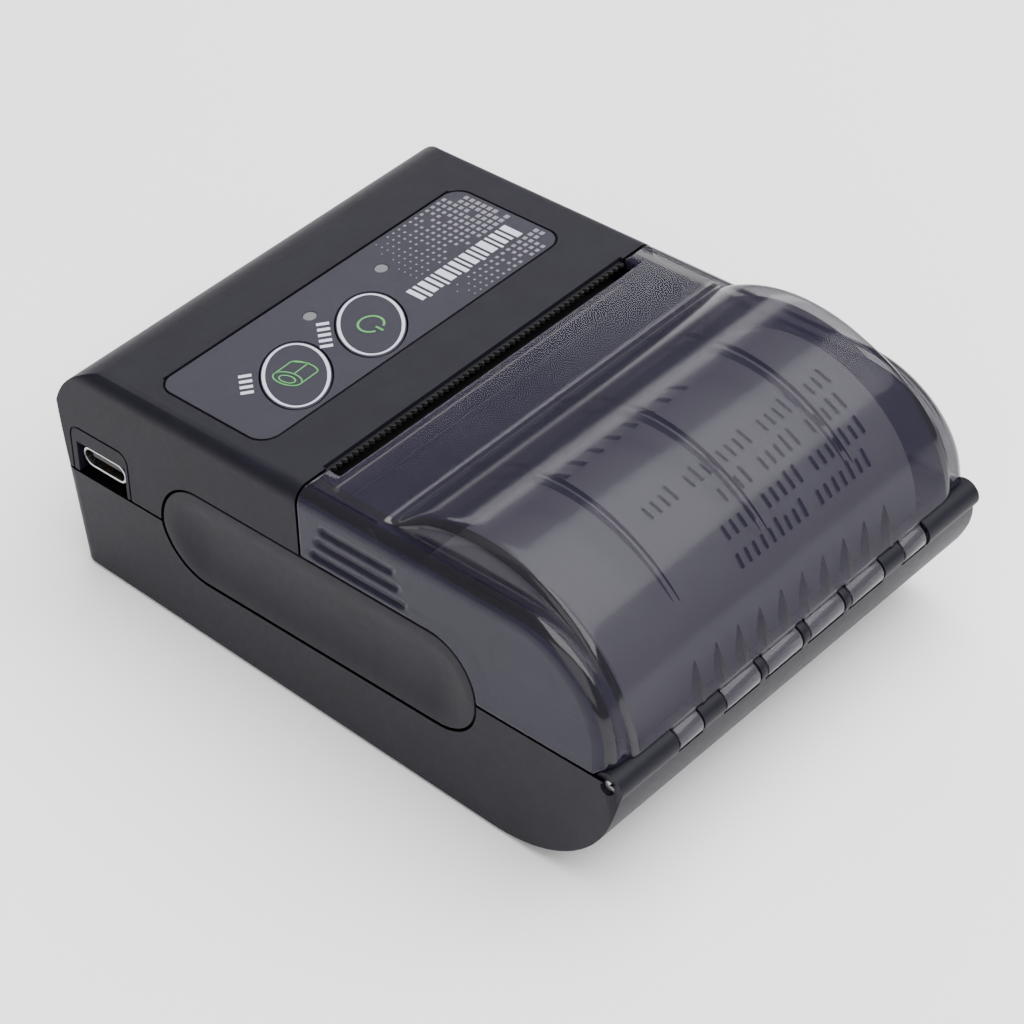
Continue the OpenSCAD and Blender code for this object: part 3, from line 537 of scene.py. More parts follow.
def in_grip_gap(c, normal):
    """On the wall of a grip's recess, between its floor and the outside."""
    near = min(max(c.y, GRIP_FRONT), GRIP_REAR)
    off = math.hypot(c.y - near, c.z)
    return abs(c.x) > 33 and GRIP_R - 0.25 < off < GRIP_R + 0.15 and abs(normal.x) < 0.35


def in_lower_seam(c, normal):
    """On the wall of the grip's recess or on the lower case's side of the parting line."""
    return in_grip_gap(c, normal) or (abs(c.z + SEAM) < 0.02 and normal.z > 0.9)


def in_upper_seam(c, normal):
    """The same for the upper case, with its edge along the cover."""
    return (in_grip_gap(c, normal) or (abs(c.z - SEAM) < 0.02 and normal.z < -0.9)
            or (abs(c.y - SPLIT_Y + 2 * SEAM) < 0.02 and normal.y > 0.9))


# The faces inside the seams of the two case halves get painted shade
for node, width in BEVELS.items():
    soft = soften(node, width)
    if node == "lower_case":
        paint_seam_shade(soft, in_lower_seam)
    elif node == "upper_case":
        paint_seam_shade(soft, in_upper_seam)


# ---------- Grip plates ----------

DISH_HALF, DISH_DEPTH = 7.0, 1.5


def grip_outline(turns=48, steps=40):
    """Stadium of the grip: the y that each point belongs to, and the way outwards from it."""
    outline = []
    for here, there, start in ((GRIP_REAR, GRIP_FRONT, 0.5), (GRIP_FRONT, GRIP_REAR, -0.5)):
        for i in range(turns + 1):
            a = math.pi * (start - i / turns)
            outline.append((here, math.cos(a), math.sin(a)))
        for i in range(1, steps):
            outline.append((here + (there - here) * i / steps, 0.0, -2 * start))
    return outline


def grip_face(y, z):
    """X of the grip's outer face: a plane with a round trough in it, blended at the rim."""
    near = min(max(y, GRIP_FRONT + 1), GRIP_REAR - 1)
    off = math.hypot(y - near, z)
    dish_r = (DISH_HALF ** 2 + DISH_DEPTH ** 2) / (2 * DISH_DEPTH)
    dish = HALF_W - DISH_DEPTH + dish_r - math.sqrt(dish_r ** 2 - off ** 2)
    plane = HALF_W - 0.1 - LEAN * max(z, 0.0)
    blend = 0.55
    k = min(1.0, max(0.0, 0.5 + 0.5 * (plane - dish) / blend))
    return plane + (dish - plane) * k - blend * k * (1 - k)


def build_grip(side):
    """Dished grip plate: a fine mesh of the stadium, with a soft rim round the dish."""
    rim_r = GRIP_R - 0.45
    foot_x = 34.45
    outline = grip_outline()
    verts = []
    for t in (0.0, 0.12, 0.25, 0.38, 0.5, 0.6, 0.69, 0.77, 0.83, 0.87, 0.9, 0.93, 0.96, 0.98):
        for cy, dy, dz in outline:
            y, z = cy + dy * rim_r * t, dz * rim_r * t
            verts.append((grip_face(y, z), y, z))
    for drop, grow in ((0.01, -0.06), (0.04, -0.02), (0.1, 0.0)):
        for cy, dy, dz in outline:
            x = grip_face(cy + dy * rim_r, dz * rim_r) - drop
            verts.append((x, cy + dy * (rim_r + grow), dz * (rim_r + grow)))
    verts += [(foot_x, cy + dy * rim_r, dz * rim_r) for cy, dy, dz in outline]
    m = len(outline)
    faces = tube_faces(len(verts) // m, m)
    faces.append(tuple(range(len(verts) - m, len(verts))))
    if side < 0:
        verts = [(-x, y, z) for x, y, z in verts]
    name = "side_grip_right" if side > 0 else "side_grip_left"
    obj = new_object(name + "_dished", verts, faces, "case", M["grip_rubber"], node=name,
                     slot="grip_rubber")
    bm = bmesh.new()
    bm.from_mesh(obj.data)
    bmesh.ops.remove_doubles(bm, verts=bm.verts, dist=1e-6)
    bmesh.ops.dissolve_degenerate(bm, edges=bm.edges, dist=1e-7)
    bmesh.ops.recalc_face_normals(bm, faces=bm.faces)
    bm.to_mesh(obj.data)
    bm.free()
    shade_by_angle(obj.data, 50)


build_grip(1)
build_grip(-1)


# ---------- Clear cover ----------

def shoulder_point(theta, t):
    """Where a ray from the bulge's centre meets the shoulder, and the surface normal there."""
    cy, cz, r = SHOULDER
    by, bz, _ = BULGE
    d = Vector((math.cos(theta), math.sin(theta)))
    if d.y > 0:
        y = by + d.x * (TOP_Z - t - bz) / d.y
        if y <= cy:
            return Vector((y, TOP_Z - t)), Vector((0, 1))
    y_rear = cy + r - t
    z = bz + d.y * (y_rear - by) / d.x
    if z < cz:
        return Vector((y_rear, z)), Vector((1, 0))
    off = Vector((by - cy, bz - cz))
    k = -off.dot(d) + math.sqrt(off.dot(d) ** 2 - off.dot(off) + (r - t) ** 2)
    p = Vector((by, bz)) + d * k
    return p, (p - Vector((cy, cz))).normalized()


def cover_rows(t):
    """Stations from the paper slot to the hinge, t below the outside surface.

    Each one gives a point of the shoulder, its normal, and the point of the bulge over it.
    """
    by, bz, br = BULGE
    f = BULGE_FILLET + t
    cz = TOP_Z - t + f
    cy = by - math.sqrt((br - t + f) ** 2 - (cz - bz) ** 2)
    theta0 = math.atan2(cz - bz, cy - by)
    up = Vector((0, 1))
    rows = []
    front = [SPLIT_Y, -2.6, -2.2, -1.8, -1.4, -1.05, LIP_Y]
    n = round((cy - 0.3 - LIP_Y) / 0.36)
    front += [LIP_Y + (cy - 0.3 - LIP_Y) * i / n for i in range(1, n + 1)]
    for y in front:
        p = Vector((y, TOP_Z - t))
        rows.append((p, up, p.copy()))
    first, _ = shoulder_point(theta0, t)
    steps = 12
    for i in range(steps + 1):
        a = -math.pi / 2 + (theta0 - math.pi / 2) * i / steps
        b = Vector((cy + f * math.cos(a), cz + f * math.sin(a)))
        rows.append((Vector((cy + (first.x - cy) * i / steps, TOP_Z - t)), up, b))
    steps = 72
    theta1 = math.asin(SEAM / (br - t))
    for i in range(1, steps + 1):
        th = theta0 + (theta1 - theta0) * (i / steps) ** 1.12
        s, nrm = shoulder_point(th, t)
        rows.append((s, nrm, Vector((by + (br - t) * math.cos(th), bz + (br - t) * math.sin(th)))))
    return rows


def lower_edge(rows):
    """Lower edge of the side wall for each row: over the grip, round its end, along the seam."""
    last_y = SHOULDER[0] + SHOULDER[2] - SIDE_ROUND * (1 - math.sin(DRAFT)) - 0.2
    path = [0.0]
    for a, b in zip(rows, rows[1:]):
        path.append(path[-1] + (b[0] - a[0]).length)
    turn_start = next(p for p, r in zip(path, rows) if r[0].x > GRIP_REAR)
    turn_end = turn_start + 11.0
    corner = math.asin(SEAM / GRIP_R)
    out = []
    for p, (s, _, _) in zip(path, rows):
        if p < turn_start:
            out.append((s.x, GRIP_R))
        elif p < turn_end:
            k = (p - turn_start) / (turn_end - turn_start)
            a = math.pi / 2 + (corner - math.pi / 2) * k
            out.append((GRIP_REAR + GRIP_R * math.cos(a), GRIP_R * math.sin(a)))
        else:
            k = (p - turn_end) / (path[-1] - turn_end)
            y0 = GRIP_REAR + GRIP_R * math.cos(corner)
            out.append((y0 + (last_y - y0) * k, SEAM))
    return out


# Each finger groove of the side wall: first y, last y, height
GROOVES = ((1.6, 13.9, 14.1), (0.6, 14.8, 11.8), (-0.4, 15.8, 9.5))


def groove_depth(y, z):
    """How deep the finger grooves are at a point of the side wall."""
    deep = 0.0
    for y0, y1, gz in GROOVES:
        d = math.hypot(y - min(max(y, y0), y1), z - gz)
        k = min(1.0, max(0.0, (0.85 - d) / 0.55))
        deep = max(deep, 0.5 * k * k * (3 - 2 * k))
    return deep


def cover_section(s, nrm, b, low, t):
    """Half section of the cover, t below its outside, from the side wall's foot to the middle.

    s and nrm are the shoulder's point and normal, b the bulge's point over it and low the
    foot of the side wall.
    """
    out = []
    r = SIDE_ROUND - t
    centre = s - nrm * r
    xc = HALF_W - LEAN * centre.y - SIDE_ROUND / math.cos(DRAFT)
    top = centre + nrm * (r * math.sin(DRAFT))
    for i in range(34):
        k = i / 34
        y = low[0] + (top.x - low[0]) * k
        z = low[1] + (top.y - low[1]) * k
        dent = 0 if t else groove_depth(y, z)
        out.append((HALF_W - LEAN * z - t / math.cos(DRAFT) - dent, y, z))
    for i in range(8):
        a = DRAFT + (math.pi / 2 - DRAFT) * i / 7
        p = centre + nrm * (r * math.sin(a))
        out.append((xc + r * math.cos(a), p.x, p.y))
    rise = b - s
    h = rise.length
    u = rise.normalized() if h > 1e-6 else nrm
    half = BULGE_HALF - t
    foot_x, crown_x = BULGE_FOOT + t, BULGE_CROWN - t
    foot, crown = min(foot_x, 0.42 * h), min(crown_x, 0.5 * h)
    x0 = half + 0.08 + foot_x

    def at(x, height):
        p = s + u * height
        out.append((x, p.x, p.y))

    at(xc * 0.4 + x0 * 0.6 if xc > x0 + 0.1 else xc - 0.01, 0)
    for i in range(6):
        a = math.pi / 2 * i / 5
        at(x0 - foot_x * math.sin(a), foot * (1 - math.cos(a)))
    for i in range(1, 4):
        at(half + 0.08 * (1 - i / 4), foot + (h - foot - crown) * i / 4)
    for i in range(8):
        a = math.pi / 2 * i / 7
        at(half - crown_x * (1 - math.cos(a)), h - crown * (1 - math.sin(a)))
    for x in (SLOT_HALF, 24, 17, 8.5, 0):
        at(x, h)
    return out


def cover_shell():
    """Closed skin of the cover: outside, inside and the rim between them."""
    low = lower_edge(cover_rows(0))
    verts, sides, width = [], [], 0
    for t in (0, COVER_WALL):
        sides.append(len(verts))
        for (s, nrm, b), edge in zip(cover_rows(t), low):
            half = cover_section(s, nrm, b, edge, t)
            full = half + [(-x, y, z) for x, y, z in reversed(half[:-1])]
            width = len(full)
            verts += full
    rows = sides[1] // width
    quads = []
    for i in range(rows - 1):
        for j in range(width - 1):
            quad = (i * width + j, i * width + j + 1, (i + 1) * width + j + 1, (i + 1) * width + j)
            x_far = max(abs(verts[q][0]) for q in quad)
            y_far = max(verts[q][1] for q in quad)
            if x_far > SLOT_HALF + 0.01 or y_far > LIP_Y + 0.01:
                quads.append(quad)
    edges = {}
    for quad in quads:
        for a, b in zip(quad, quad[1:] + quad[:1]):
            edges[(a, b)] = edges.get((a, b), 0) + 1
    inner = sides[1]
    faces = list(quads) + [tuple(inner + q for q in reversed(quad)) for quad in quads]
    faces += [(b, a, inner + a, inner + b) for a, b in edges if (b, a) not in edges]
    used = sorted({i for f in faces for i in f})
    index = {old: new for new, old in enumerate(used)}
    return [verts[i] for i in used], [tuple(index[i] for i in f) for f in faces]


def cover_cutters():
    """Room for the barrels of the case, cut out of the cover."""
    outline = arc(HINGE_Y, HINGE_Z, BARREL_CLEAR, 0, 352.5, 47)
    parts = []
    for a, b in BARRELS:
        c = prism(outline, a, b)
        parts += [c, mirrored(c)]
    parts.append(prism(outline, -KNUCKLES[0][0], KNUCKLES[0][0]))
    return merged(parts)


def paint_edge_shade(mesh):
    """Painted shade: the rounded edges and the cut rims get darker, denser copies of the cover
    plastic, for the dark bands that light trapped in them makes; the side walls get the denser copy
    too.
    """
    back = to_frame.inverted()
    for p in mesh.polygons:
        c = back @ p.center
        x, y, z = abs(c.x), c.y, c.z
        over = Vector((y - SHOULDER[0], z - SHOULDER[1])).length if y > SHOULDER[0] else 0
        top = z > TOP_Z - 0.9 if y <= SHOULDER[0] else over > SHOULDER[2] - 0.9
        side_round = HALF_W - LEAN * z - x < 1.9 and top
        r = Vector((y - BULGE[0], z - BULGE[1])).length
        bulge_round = BULGE_HALF - 1.3 < x < BULGE_HALF and r > BULGE[2] - 1.2
        if side_round or bulge_round:
            p.material_index = 1
        elif HALF_W - LEAN * z - x < COVER_WALL + 0.1:
            p.material_index = 2


def build_cover():
    """Shell of the cover with its rims rounded and the barrels' room cut out."""
    shell = new_object("cover_shell", *cover_shell(), None, M["smoked_cover"])
    # Painted shade: darker and denser copies of the cover plastic for its edges and cut rims
    shell.data.materials.append(M["cover_edge_shade"])
    shell.data.materials.append(M["cover_side"])
    paint_edge_shade(shell.data)
    bm = bmesh.new()
    bm.from_mesh(shell.data)
    rims = [e for e in bm.edges if e.calc_face_angle(0) > math.radians(50)]
    bmesh.ops.bevel(bm, geom=rims, offset=0.1 * MM, segments=2, profile=0.5,
                    affect="EDGES", clamp_overlap=False)
    bm.to_mesh(shell.data)
    bm.free()
    cutter = new_object("cover_cutter", *cover_cutters(), None, M["smoked_cover"])
    for name in ("cover_edge_shade", "cover_side"):
        cutter.data.materials.append(M[name])
    # The cut rims get the denser copy, as painted shade
    for p in cutter.data.polygons:
        p.material_index = 2
    modifier(shell, "BOOLEAN", operation="DIFFERENCE", solver="EXACT", object=cutter,
             use_self=True)
    apply_modifiers(shell)
    bpy.data.objects.remove(cutter)
    shade_by_angle(shell.data, 38)
    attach(shell, "cover")
    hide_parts("paper_cover")


def bulge_path(lead, end, turns, steps):
    """Line over the outside of the bulge, from the flat strip to an angle on its rear.

    Each entry is a point of the Y-Z plane and the surface normal there.
    """
    by, bz, br = BULGE
    f = BULGE_FILLET
    cz = TOP_Z + f
    cy = by - math.sqrt((br + f) ** 2 - (cz - bz) ** 2)
    theta0 = math.atan2(cz - bz, cy - by)
    out = [(Vector((cy + lead, TOP_Z)), Vector((0, 1)))]
    for i in range(turns + 1):
        a = -math.pi / 2 + (theta0 - math.pi / 2) * i / turns
        n = Vector((-math.cos(a), -math.sin(a)))
        out.append((Vector((cy, cz)) - n * f, n))
    for i in range(1, steps + 1):
        a = theta0 + (math.radians(end) - theta0) * i / steps
        n = Vector((math.cos(a), math.sin(a)))
        out.append((Vector((by, bz)) + n * br, n))
    return out


def fin(x, path, widths):
    """Thin blade under a line of the cover's skin.

    Each entry of widths is an outer and an inner pair: depth below the skin, half width.
    """
    verts = []
    for (p, nrm), pairs in zip(path, widths):
        for depth, w in pairs:
            q = p - nrm * depth
            verts += [(x - w, q.x, q.y), (x + w, q.x, q.y)]
    return verts, bar_faces(len(path) - 1)


def cover_piece(name, shape, material="smoked_cover"):
    """Sub-part of the clear cover, from vertices and faces."""
    obj = new_object(name, *shape, "cover", M[material], slot="smoked_cover")
    shade_by_angle(obj.data, 35)


def build_lip():
    """Lip along the paper slot, with a round lower edge."""
    low, high, front, back = 15.7, 16.82, -0.65, 0.85
    outline = [(back, high), (back, 15.5)] + arc(front + 0.4, low, 0.4, 270, 180, 6) \
        + [(front, high)]
    cover_piece("cover_lip", prism(outline, -SLOT_HALF - 0.5, SLOT_HALF + 0.5))


def build_lugs():
    """Pair of lugs under the cover that hold the platen bushings."""
    outline = [(PLATEN[0] - 2.6, TOP_Z - 1.5), (PLATEN[0] - 2.6, PLATEN[1] + 3.4)] \
        + arc(*PLATEN, BUSHING_R + 1.3, 128, 412, 30) \
        + [(PLATEN[0] + 3.0, TOP_Z - 1.5)]
    hole = arc(*PLATEN, BUSHING_R + 0.02, 0, 352.5, 47)
    n, m = len(outline), len(hole)
    verts = [(x, y, z) for x in LUG for y, z in outline]
    verts += [(x, y, z) for x in LUG for y, z in hole]
    faces = tube_faces(2, n)
    base = 2 * n
    faces += [(base + (i + 1) % m, base + i, base + m + i, base + m + (i + 1) % m)
              for i in range(m)]
    mesh = bpy.data.meshes.new("cover_lugs")
    mesh.from_pydata([place(*v) for v in verts], [], faces)
    bm = bmesh.new()
    bm.from_mesh(mesh)
    bm.edges.ensure_lookup_table()
    for x in LUG:
        rim = [e for e in bm.edges if len(e.link_faces) == 1
               and all(abs(v.co.x - x * MM) < 1e-6 for v in e.verts)]
        bmesh.ops.triangle_fill(bm, edges=rim, use_beauty=True)
    bmesh.ops.recalc_face_normals(bm, faces=bm.faces)
    bm.to_mesh(mesh)
    bmesh.ops.scale(bm, vec=(-1, 1, 1), verts=bm.verts)
    bmesh.ops.reverse_faces(bm, faces=bm.faces)
    bm.from_mesh(mesh)
    bm.to_mesh(mesh)
    bm.free()
    lugs = bpy.data.objects.new("cover_lugs", mesh)
    bpy.context.scene.collection.objects.link(lugs)
    mesh.materials.append(M["smoked_cover"])
    shade_by_angle(mesh, 35)
    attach(lugs, "cover")


def build_ribs():
    """Long ribs of the bulge: a thin dark blade in the wall, which is painted shade for the dark
    line a rib shows, and a low clear ridge inside it.
    """
    path = bulge_path(-1.5, 36, 14, 44)
    swell = [math.sin(math.pi * i / (len(path) - 1)) ** 0.6 for i in range(len(path))]
    shade_blades = [((0.02, 0.03 + 0.15 * k), (0.1 + 0.55 * k, 0.02 + 0.08 * k)) for k in swell]
    ridges = [((COVER_WALL - 0.02, 0.05 + 0.2 * k), (COVER_WALL + 0.75 * k, 0.02 + 0.13 * k))
              for k in swell]
    # The blades carry painted shade in the near-black rib material
    for name, widths, material in (("cover_rib_shade", shade_blades, "cover_rib"),
                                   ("cover_rib_ridges", ridges, "smoked_cover")):
        cover_piece(name, merged([fin(x, path, widths) for x in (-17, 0, 17)]), material)


def build_fins():
    """Short upright fins above the hinge, each one a slim petal, in a darker copy of the cover
    plastic that is painted shade for the dark line each fin shows.
    """
    by, bz, br = BULGE
    first_x, pitch, count, steps = -19, 4.2, 10, 12
    path, widths = [], []
    for i in range(steps + 1):
        a = math.radians(0.6 + 17.4 * i / steps)
        nrm = Vector((math.cos(a), math.sin(a)))
        path.append((Vector((by, bz)) + nrm * br, nrm))
        taper = math.sin(math.pi * (0.3 + 0.69 * i / steps))
        widths.append(((-0.02, 0.34 * taper), (0.1 + 1.5 * taper, 0.17 * taper)))
    fins = [fin(first_x + pitch * i, path, widths) for i in range(count)]
    cover_piece("cover_fins", merged(fins), "cover_fin")


def build_knuckles():
    """Knuckles of the cover with the webs that join them to its wall, in a lighter copy of the
    cover plastic that is painted sheen.
    """
    parts = []
    for a, b in KNUCKLES:
        k = ring(a, b, HINGE_Y, HINGE_Z, KNUCKLE_R, PIN_R + 0.05)
        web = prism([(HINGE_Y - 1.5, HINGE_Z + 1.3), (HINGE_Y + 0.8, HINGE_Z + 1.6),
                     (HINGE_Y + 0.8, 1.6), (HINGE_Y - 0.7, 1.6)], a, b)
        parts += [k, web, mirrored(k), mirrored(web)]
    obj = new_object("cover_knuckles", *merged(parts), "cover", M["knuckle_painted_sheen"],
                     slot="smoked_cover")
    modifier(obj, "BEVEL", width=0.12 * MM, segments=2, limit_method="ANGLE",
             angle_limit=math.radians(50))
    apply_modifiers(obj)
    shade_by_angle(obj.data, 35)


build_cover()
build_lip()
build_lugs()
build_ribs()
build_fins()
build_knuckles()


# ---------- Printed panel ----------

FILM_Z = TOP_Z + 0.012                # top of the panel film
INK_T = 0.03                          # thickness of the printed ink


def ribbon(points, width, z=FILM_Z, closed=False):
    """Flat printed line of a given width through points of the panel."""
    n = len(points)
    left, right = [], []
    for i, (x, y) in enumerate(points):
        if closed:
            a, b = points[i - 1], points[(i + 1) % n]
        else:
            a, b = points[max(0, i - 1)], points[min(n - 1, i + 1)]
        dx, dy = b[0] - a[0], b[1] - a[1]
        k = width / 2 / math.hypot(dx, dy)
        left.append((x - dy * k, y + dx * k))
        right.append((x + dy * k, y - dx * k))
    return strip(left, right, z, closed)


def strip(left, right, z=FILM_Z, closed=False):
    """Flat printed band between two lines with the same number of points."""
    n = len(left)
    verts = [(*p, z + h) for h in (0, INK_T) for line in (left, right) for p in line]
    faces = []
    for i in range(n if closed else n - 1):
        j = (i + 1) % n
        faces += [(2 * n + i, 2 * n + j, 3 * n + j, 3 * n + i), (i, n + i, n + j, j),
                  (i, j, 2 * n + j, 2 * n + i), (n + i, 3 * n + i, 3 * n + j, n + j)]
    if not closed:
        e = n - 1
        faces += [(0, 2 * n, 3 * n, n), (e, n + e, 3 * n + e, 2 * n + e)]
    return verts, faces


def patch(outline):
    """Flat printed patch with a closed outline."""
    n = len(outline)
    verts = [(x, y, FILM_Z + h) for h in (0, INK_T) for x, y in outline]
    faces = [tuple(range(n - 1, -1, -1)), tuple(range(n, 2 * n))]
    return verts, faces + tube_faces(2, n)


def spun(points, at, degrees):
    """Points turned by an angle and moved to a place of the panel."""
    c, s = math.cos(math.radians(degrees)), math.sin(math.radians(degrees))
    return [(at[0] + x * c - y * s, at[1] + x * s + y * c) for x, y in points]


def oval(a, b, steps=96):
    """Points of an ellipse with its middle at the origin."""
    return [(a * math.cos(2 * math.pi * i / steps), b * math.sin(2 * math.pi * i / steps))
            for i in range(steps)]


def icon_line(points, at, width, closed=False):
    """Icon stroke, its points measured from the middle of a button."""
    return ribbon([(at[0] + x, at[1] + y) for x, y in points], width, closed=closed)


def panel_piece(name, parts, material):
    """Printed piece on the panel film."""
    new_object(name, *merged(parts), "case", material, False, slot="panel_film")


def key_piece(name, shape, body, material):
    """Printed piece on one of the buttons."""
    new_object(name, *shape, body, material, False, slot="button_plastic")


def build_button_signs():
    """White ring round each button, the power sign and the paper-roll sign."""
    a, b, turn_deg = BUTTON
    for name, x, body in (("power", POWER_X, "power_key"), ("feed", FEED_X, "feed_key")):
        outer = spun(oval(a - 0.38, b - 0.22), (x, BUTTON_Y), turn_deg)
        inner = spun(oval(a - 0.70, b - 0.68), (x, BUTTON_Y), turn_deg)
        key_piece(name + "_ring", strip(outer, inner, closed=True), body, INK_WHITE)
    at, width = (POWER_X, BUTTON_Y), 0.32
    power = [icon_line(arc(0, 0, 1.83, 115, 425, 48), at, width),
             icon_line([(0, 0.95), (0, 2.4)], at, width)]
    key_piece("power_icon", merged(power), "power_key", INK_GREEN)

    # Roll with a loose end, seen at an angle: its near end, its bore, the far end's rim,
    # two sides, the edge of the sheet and its loose end
    at, width = (FEED_X, BUTTON_Y), 0.2
    long, short = 2.3, 1.25
    near = spun(oval(long, short, 48), (1.3, -0.35), 100)
    bore = spun(oval(long * 0.56, short * 0.56, 32), (1.4, -0.3), 100)
    far = spun(oval(long, 0.95, 48)[:25], (-1.8, -0.45), 100)
    lines = (far, [near[0], far[0]], [near[24], far[24]], [(0.1, -0.4), (-2.6, -0.55)],
             [(-1.7, -2.7), (-2.9, -0.4), (-2.55, -0.55)])
    feed = [icon_line(near, at, width, True), icon_line(bore, at, width, True)]
    feed += [icon_line(line, at, width) for line in lines]
    key_piece("feed_icon", merged(feed), "feed_key", INK_GREEN)


def build_halftone():
    """Field of small squares that thins out towards the middle of the panel."""
    pitch, cols, rows = 1.15, 22, 18
    x0, _, y0, y1 = PANEL
    rng = random.Random(3)
    dots = []
    for i in range(cols):
        for j in range(rows):
            x = x0 + 1.3 + i * pitch
            y = y0 + 1.2 + j * pitch
            fade = (x - x0) / (cols * pitch) + 0.25 * abs((y - (y0 + y1) / 2) / (y1 - y0))
            half = 0.40 * (1.05 - fade)
            behind_bars = -23.3 < y < -18.2 and x < -4.5
            if half < 0.09 or y > y1 - 1 or behind_bars:
                continue
            in_corner = x - x0 < 3 and (y - y0 < 3 or y1 - y < 3)
            if in_corner or rng.random() < fade * 0.25:
                continue
            dots.append(patch([(x - half, y - half), (x + half, y - half),
                               (x + half, y + half), (x - half, y + half)]))
    panel_piece("panel_halftone", dots, INK_DOTS)


def build_bars():
    """Row of plain upright bars in place of a name."""
    widths = (1.1, 0.5, 0.8, 0.4, 1.3, 0.5, 0.5, 1.0, 0.4, 0.8, 0.5, 1.2, 0.4, 0.6, 1.0, 0.5, 0.8)
    x, low, gap = -25.0, -22.5, 0.48
    bars = []
    for i, w in enumerate(widths):
        top = -19.2 if i % 3 else -18.9
        bars.append(patch([(x, low), (x + w, low), (x + w, top), (x, top)]))
        x += w + gap
    panel_piece("panel_bars", bars, INK_WHITE)


def build_ticks():
    """Short ticks beside each button in place of its word."""
    ticks = []
    for centre, count, pitch in (((8.85, -24.5), 5, 1.3), ((23.1, -25.1), 4, 1.25)):
        for i in range(count):
            x = (i - (count - 1) / 2) * pitch
            tick = [(x - 0.3, -0.9), (x + 0.3, -0.9), (x + 0.3, 0.9), (x - 0.3, 0.9)]
            ticks.append(patch(spun(tick, centre, BUTTON[2])))
    panel_piece("panel_ticks", ticks, INK_WHITE)


def build_margin():
    """Dark line round the panel film, heavier along the front, where the wider band is a painted
    shadow of the recess edge.
    """
    r, inset = 3.0, 0.12
    x0, x1, y0, y1 = PANEL[0] + inset, PANEL[1] - inset, PANEL[2] + inset, PANEL[3] - inset
    line = arc(x1 - r, y1 - r, r, 0, 90, 10) + arc(x0 + r, y1 - r, r, 90, 180, 10) \
        + arc(x0 + r, y0 + r, r, 180, 270, 10) + arc(x1 - r, y0 + r, r, 270, 360, 10)
    front = [(x0 + r / 2, y0), ((x0 + x1) / 2, y0), (x1 - r / 2, y0)]
    # The wider front band is a painted shadow of the panel recess's front edge
    margin = [ribbon(line, 0.22, closed=True), ribbon(front, 0.42, z=FILM_Z + 0.004)]
    panel_piece("panel_margin", margin, M["painted_seam_shade"])


build_button_signs()
build_halftone()
build_bars()
build_ticks()
build_margin()


# ---------- Paper ----------

def build_roll():
    """Rolled paper with a loose outer turn and slightly rounded ends."""
    ry, rz, rr = ROLL
    half, tail, rounding, bore_r = 28.5, 0.35, 0.15, 6.3
    steps = 160
    angles = [2 * math.pi * i / steps - 2.2 for i in range(steps + 1)]
    radii = [rr - tail + tail * i / steps for i in range(steps + 1)]
    n = len(angles)
    xs = (-half, -half + rounding, -10, 10, half - rounding, half)
    verts = []
    for x in xs:
        shrink = rounding if abs(x) == half else 0.0
        for a, r in zip(angles, radii):
            verts.append((x, ry + (r - shrink) * math.cos(a), rz + (r - shrink) * math.sin(a)))
    faces = tube_faces(len(xs), n)
    for x, k in ((xs[0], 0), (xs[-1], len(xs) - 1)):
        base = len(verts)
        verts += [(x, ry + bore_r * math.cos(a), rz + bore_r * math.sin(a)) for a in angles]
        for i in range(n):
            j = (i + 1) % n
            faces.append((k * n + i, k * n + j, base + j, base + i))
    obj = new_object("paper_rolled", verts, faces, "roll", M["paper"], node="paper_roll",
                     slot="paper")
    shade_by_angle(obj.data, 40)


def roll_stroke(x, angle, wide, tall, steps=3):
    """One printed stroke, curved with the paper."""
    ry, rz, rr = ROLL
    verts = []
    for k in range(steps + 1):
        a = math.radians(angle) + tall / rr * k / steps
        for r in (rr + 0.02, rr + 0.05):
            for side in (x, x + wide):
                verts.append((side, ry + r * math.cos(a), rz + r * math.sin(a)))
    return verts, bar_faces(steps)


def build_strokes():
    """Rows of plain strokes on the roll in place of its printing, one row per line.

    Each row has its angle on the roll, the x where it starts, the pitch, the width and the
    height of its strokes and the lengths of its words.
    """
    lines = ((107, -12, 3.3, 0.9, 3.0, (8,)), (66, -25, 1.6, 0.5, 2.1, (3, 5, 8, 4)),
             (54, -24, 1.6, 0.5, 2.1, (5, 5, 4)), (42, -24, 1.6, 0.5, 2.1, (7, 5, 4)),
             (30, -22, 1.6, 0.5, 2.1, (7, 9)))
    strokes = []
    for angle, x, pitch, wide, tall, words in lines:
        for word in words:
            for i in range(word):
                stretch = 1.3 if i == 0 or (i * 5 + word) % 7 == 3 else 1.0
                strokes.append(roll_stroke(x, angle, wide, tall * stretch))
                x += pitch
            x += pitch
    new_object("paper_dashes", *merged(strokes), "roll", INK_BLACK, False, slot="paper")


build_roll()
build_strokes()


# ---------- USB-C contacts ----------

def build_contacts():
    """Twelve gold contacts on each face of the inlet's tongue."""
    count, pitch, wide, thick = 12, 0.5, 0.26, 0.06
    parts = []
    for i in range(count):
        y = USB[0] + (i - (count - 1) / 2) * pitch
        for s in (-1, 1):
            z = USB[1] + s * 0.36
            y0, y1, z0, z1 = y - wide / 2, y + wide / 2, z - thick / 2, z + thick / 2
            parts.append(prism([(y0, z0), (y1, z0), (y1, z1), (y0, z1)], 30.5, 34.8))
    new_object("usb_contacts", *merged(parts), "case", GOLD, False, slot="plated_shell")


build_contacts()

# Round CAD nodes that keep their own mesh
for name in ("usb_c_shell", "motor_shaft", "gear_axles", "head_pivot_pin", "board_screws",
             "mechanism_screws", "compound_gear", "idler_gear", "platen_gear",
             "motor_pinion"):
    shade_by_angle(frame["nodes"][name].data, 30)


# ---------- Studio ----------

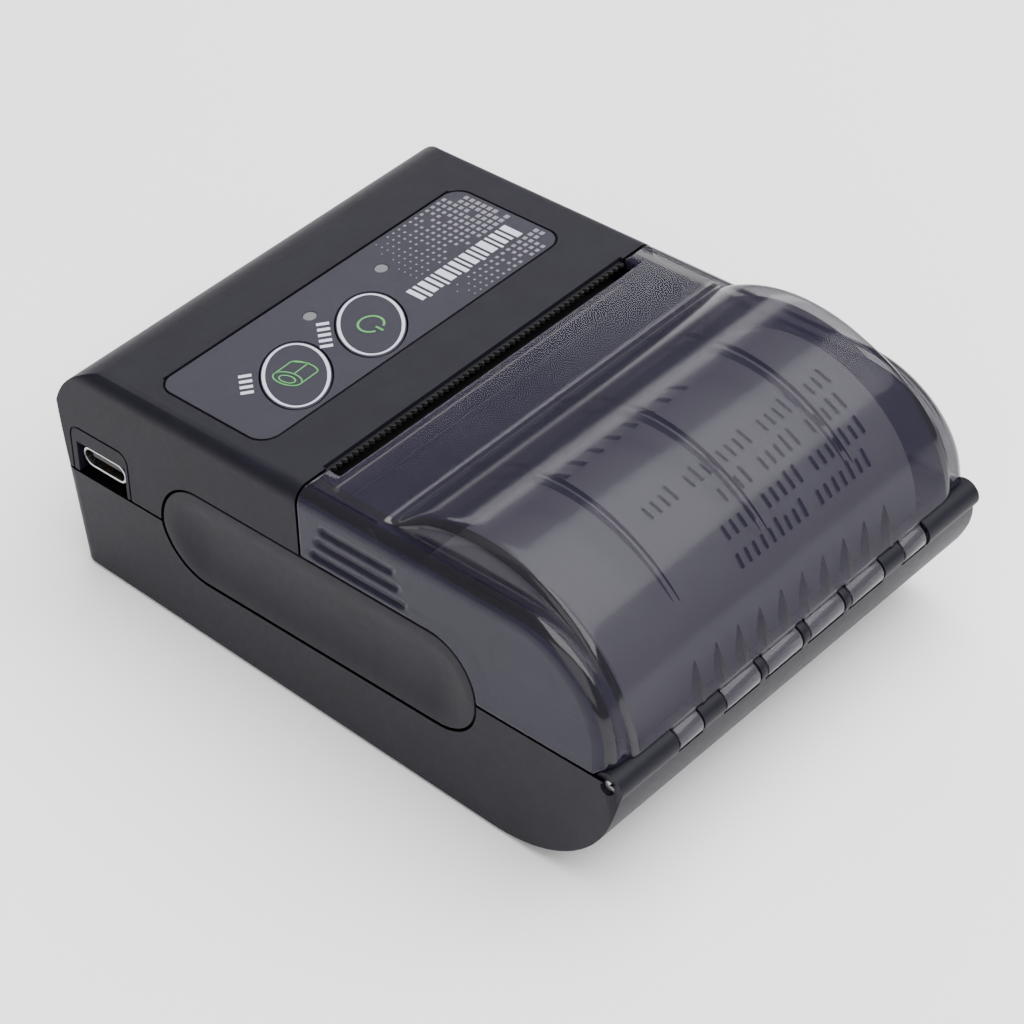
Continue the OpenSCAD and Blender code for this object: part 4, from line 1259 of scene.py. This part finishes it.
def softbox(name, at, size, power):
    """Rectangular lamp that shines on the middle of the printer."""
    data = bpy.data.lights.new(name, "AREA")
    data.shape = "RECTANGLE"
    data.size, data.size_y = size
    data.energy = power
    obj = bpy.data.objects.new(name, data)
    obj.location = at
    aim = Vector((0, 0, 0.02)) - Vector(at)
    obj.rotation_euler = aim.to_track_quat("-Z", "Y").to_euler()
    bpy.context.scene.collection.objects.link(obj)


def build_stage():
    """Pale floor, even white surroundings and three soft lamps."""
    mesh = bpy.data.meshes.new("floor")
    s = 3.0
    mesh.from_pydata([(-s, -s, 0), (s, -s, 0), (s, s, 0), (-s, s, 0)], [], [(0, 1, 2, 3)])
    floor = bpy.data.objects.new("floor", mesh)
    bpy.context.scene.collection.objects.link(floor)
    n = Nodes("floor")
    n.link(n.ramp(n.noise(8, 2.0), [(0.3, (0.93, 0.93, 0.94)), (0.7, (0.95, 0.95, 0.955))]),
           n.bsdf.inputs["Base Color"])
    n.set(Roughness=0.9)
    mesh.materials.append(n.mat)

    world = bpy.data.worlds.new("studio")
    world.use_nodes = True
    world.node_tree.nodes["Background"].inputs["Color"].default_value = (1.0, 1.0, 1.0, 1)
    world.node_tree.nodes["Background"].inputs["Strength"].default_value = 0.42
    bpy.context.scene.world = world

    softbox("key", (-0.20, 0.30, 0.95), (1.3, 1.3), 34)
    softbox("fill", (0.80, 0.45, 0.55), (1.0, 0.8), 5)
    softbox("back", (-0.55, -0.75, 0.55), (0.9, 0.2), 3.5)


def build_camera():
    """Camera at the photograph's viewing angle, given in the case frame."""
    azimuth, elevation, roll = (math.radians(v) for v in (137.627, 39.637, -6.574))
    eye = (232.677, 254.623, 278.948)
    back = Vector((math.sin(azimuth) * math.cos(elevation),
                   -math.cos(azimuth) * math.cos(elevation), math.sin(elevation)))
    right = Vector((0, 0, 1)).cross(back).normalized()
    up = back.cross(right)
    c, s = math.cos(roll), math.sin(roll)
    right, up = right * c + up * s, up * c - right * s
    spin = turn.to_3x3()
    axes = Matrix((spin @ right, spin @ up, spin @ back)).transposed()
    data = bpy.data.cameras.new("camera")
    data.lens = 113.11
    data.sensor_width = 36.0
    data.clip_start, data.clip_end = 0.01, 20
    cam = bpy.data.objects.new("camera", data)
    cam.matrix_world = Matrix.Translation(place(*eye)) @ axes.to_4x4()
    bpy.context.scene.collection.objects.link(cam)
    bpy.context.scene.camera = cam


build_stage()
build_camera()
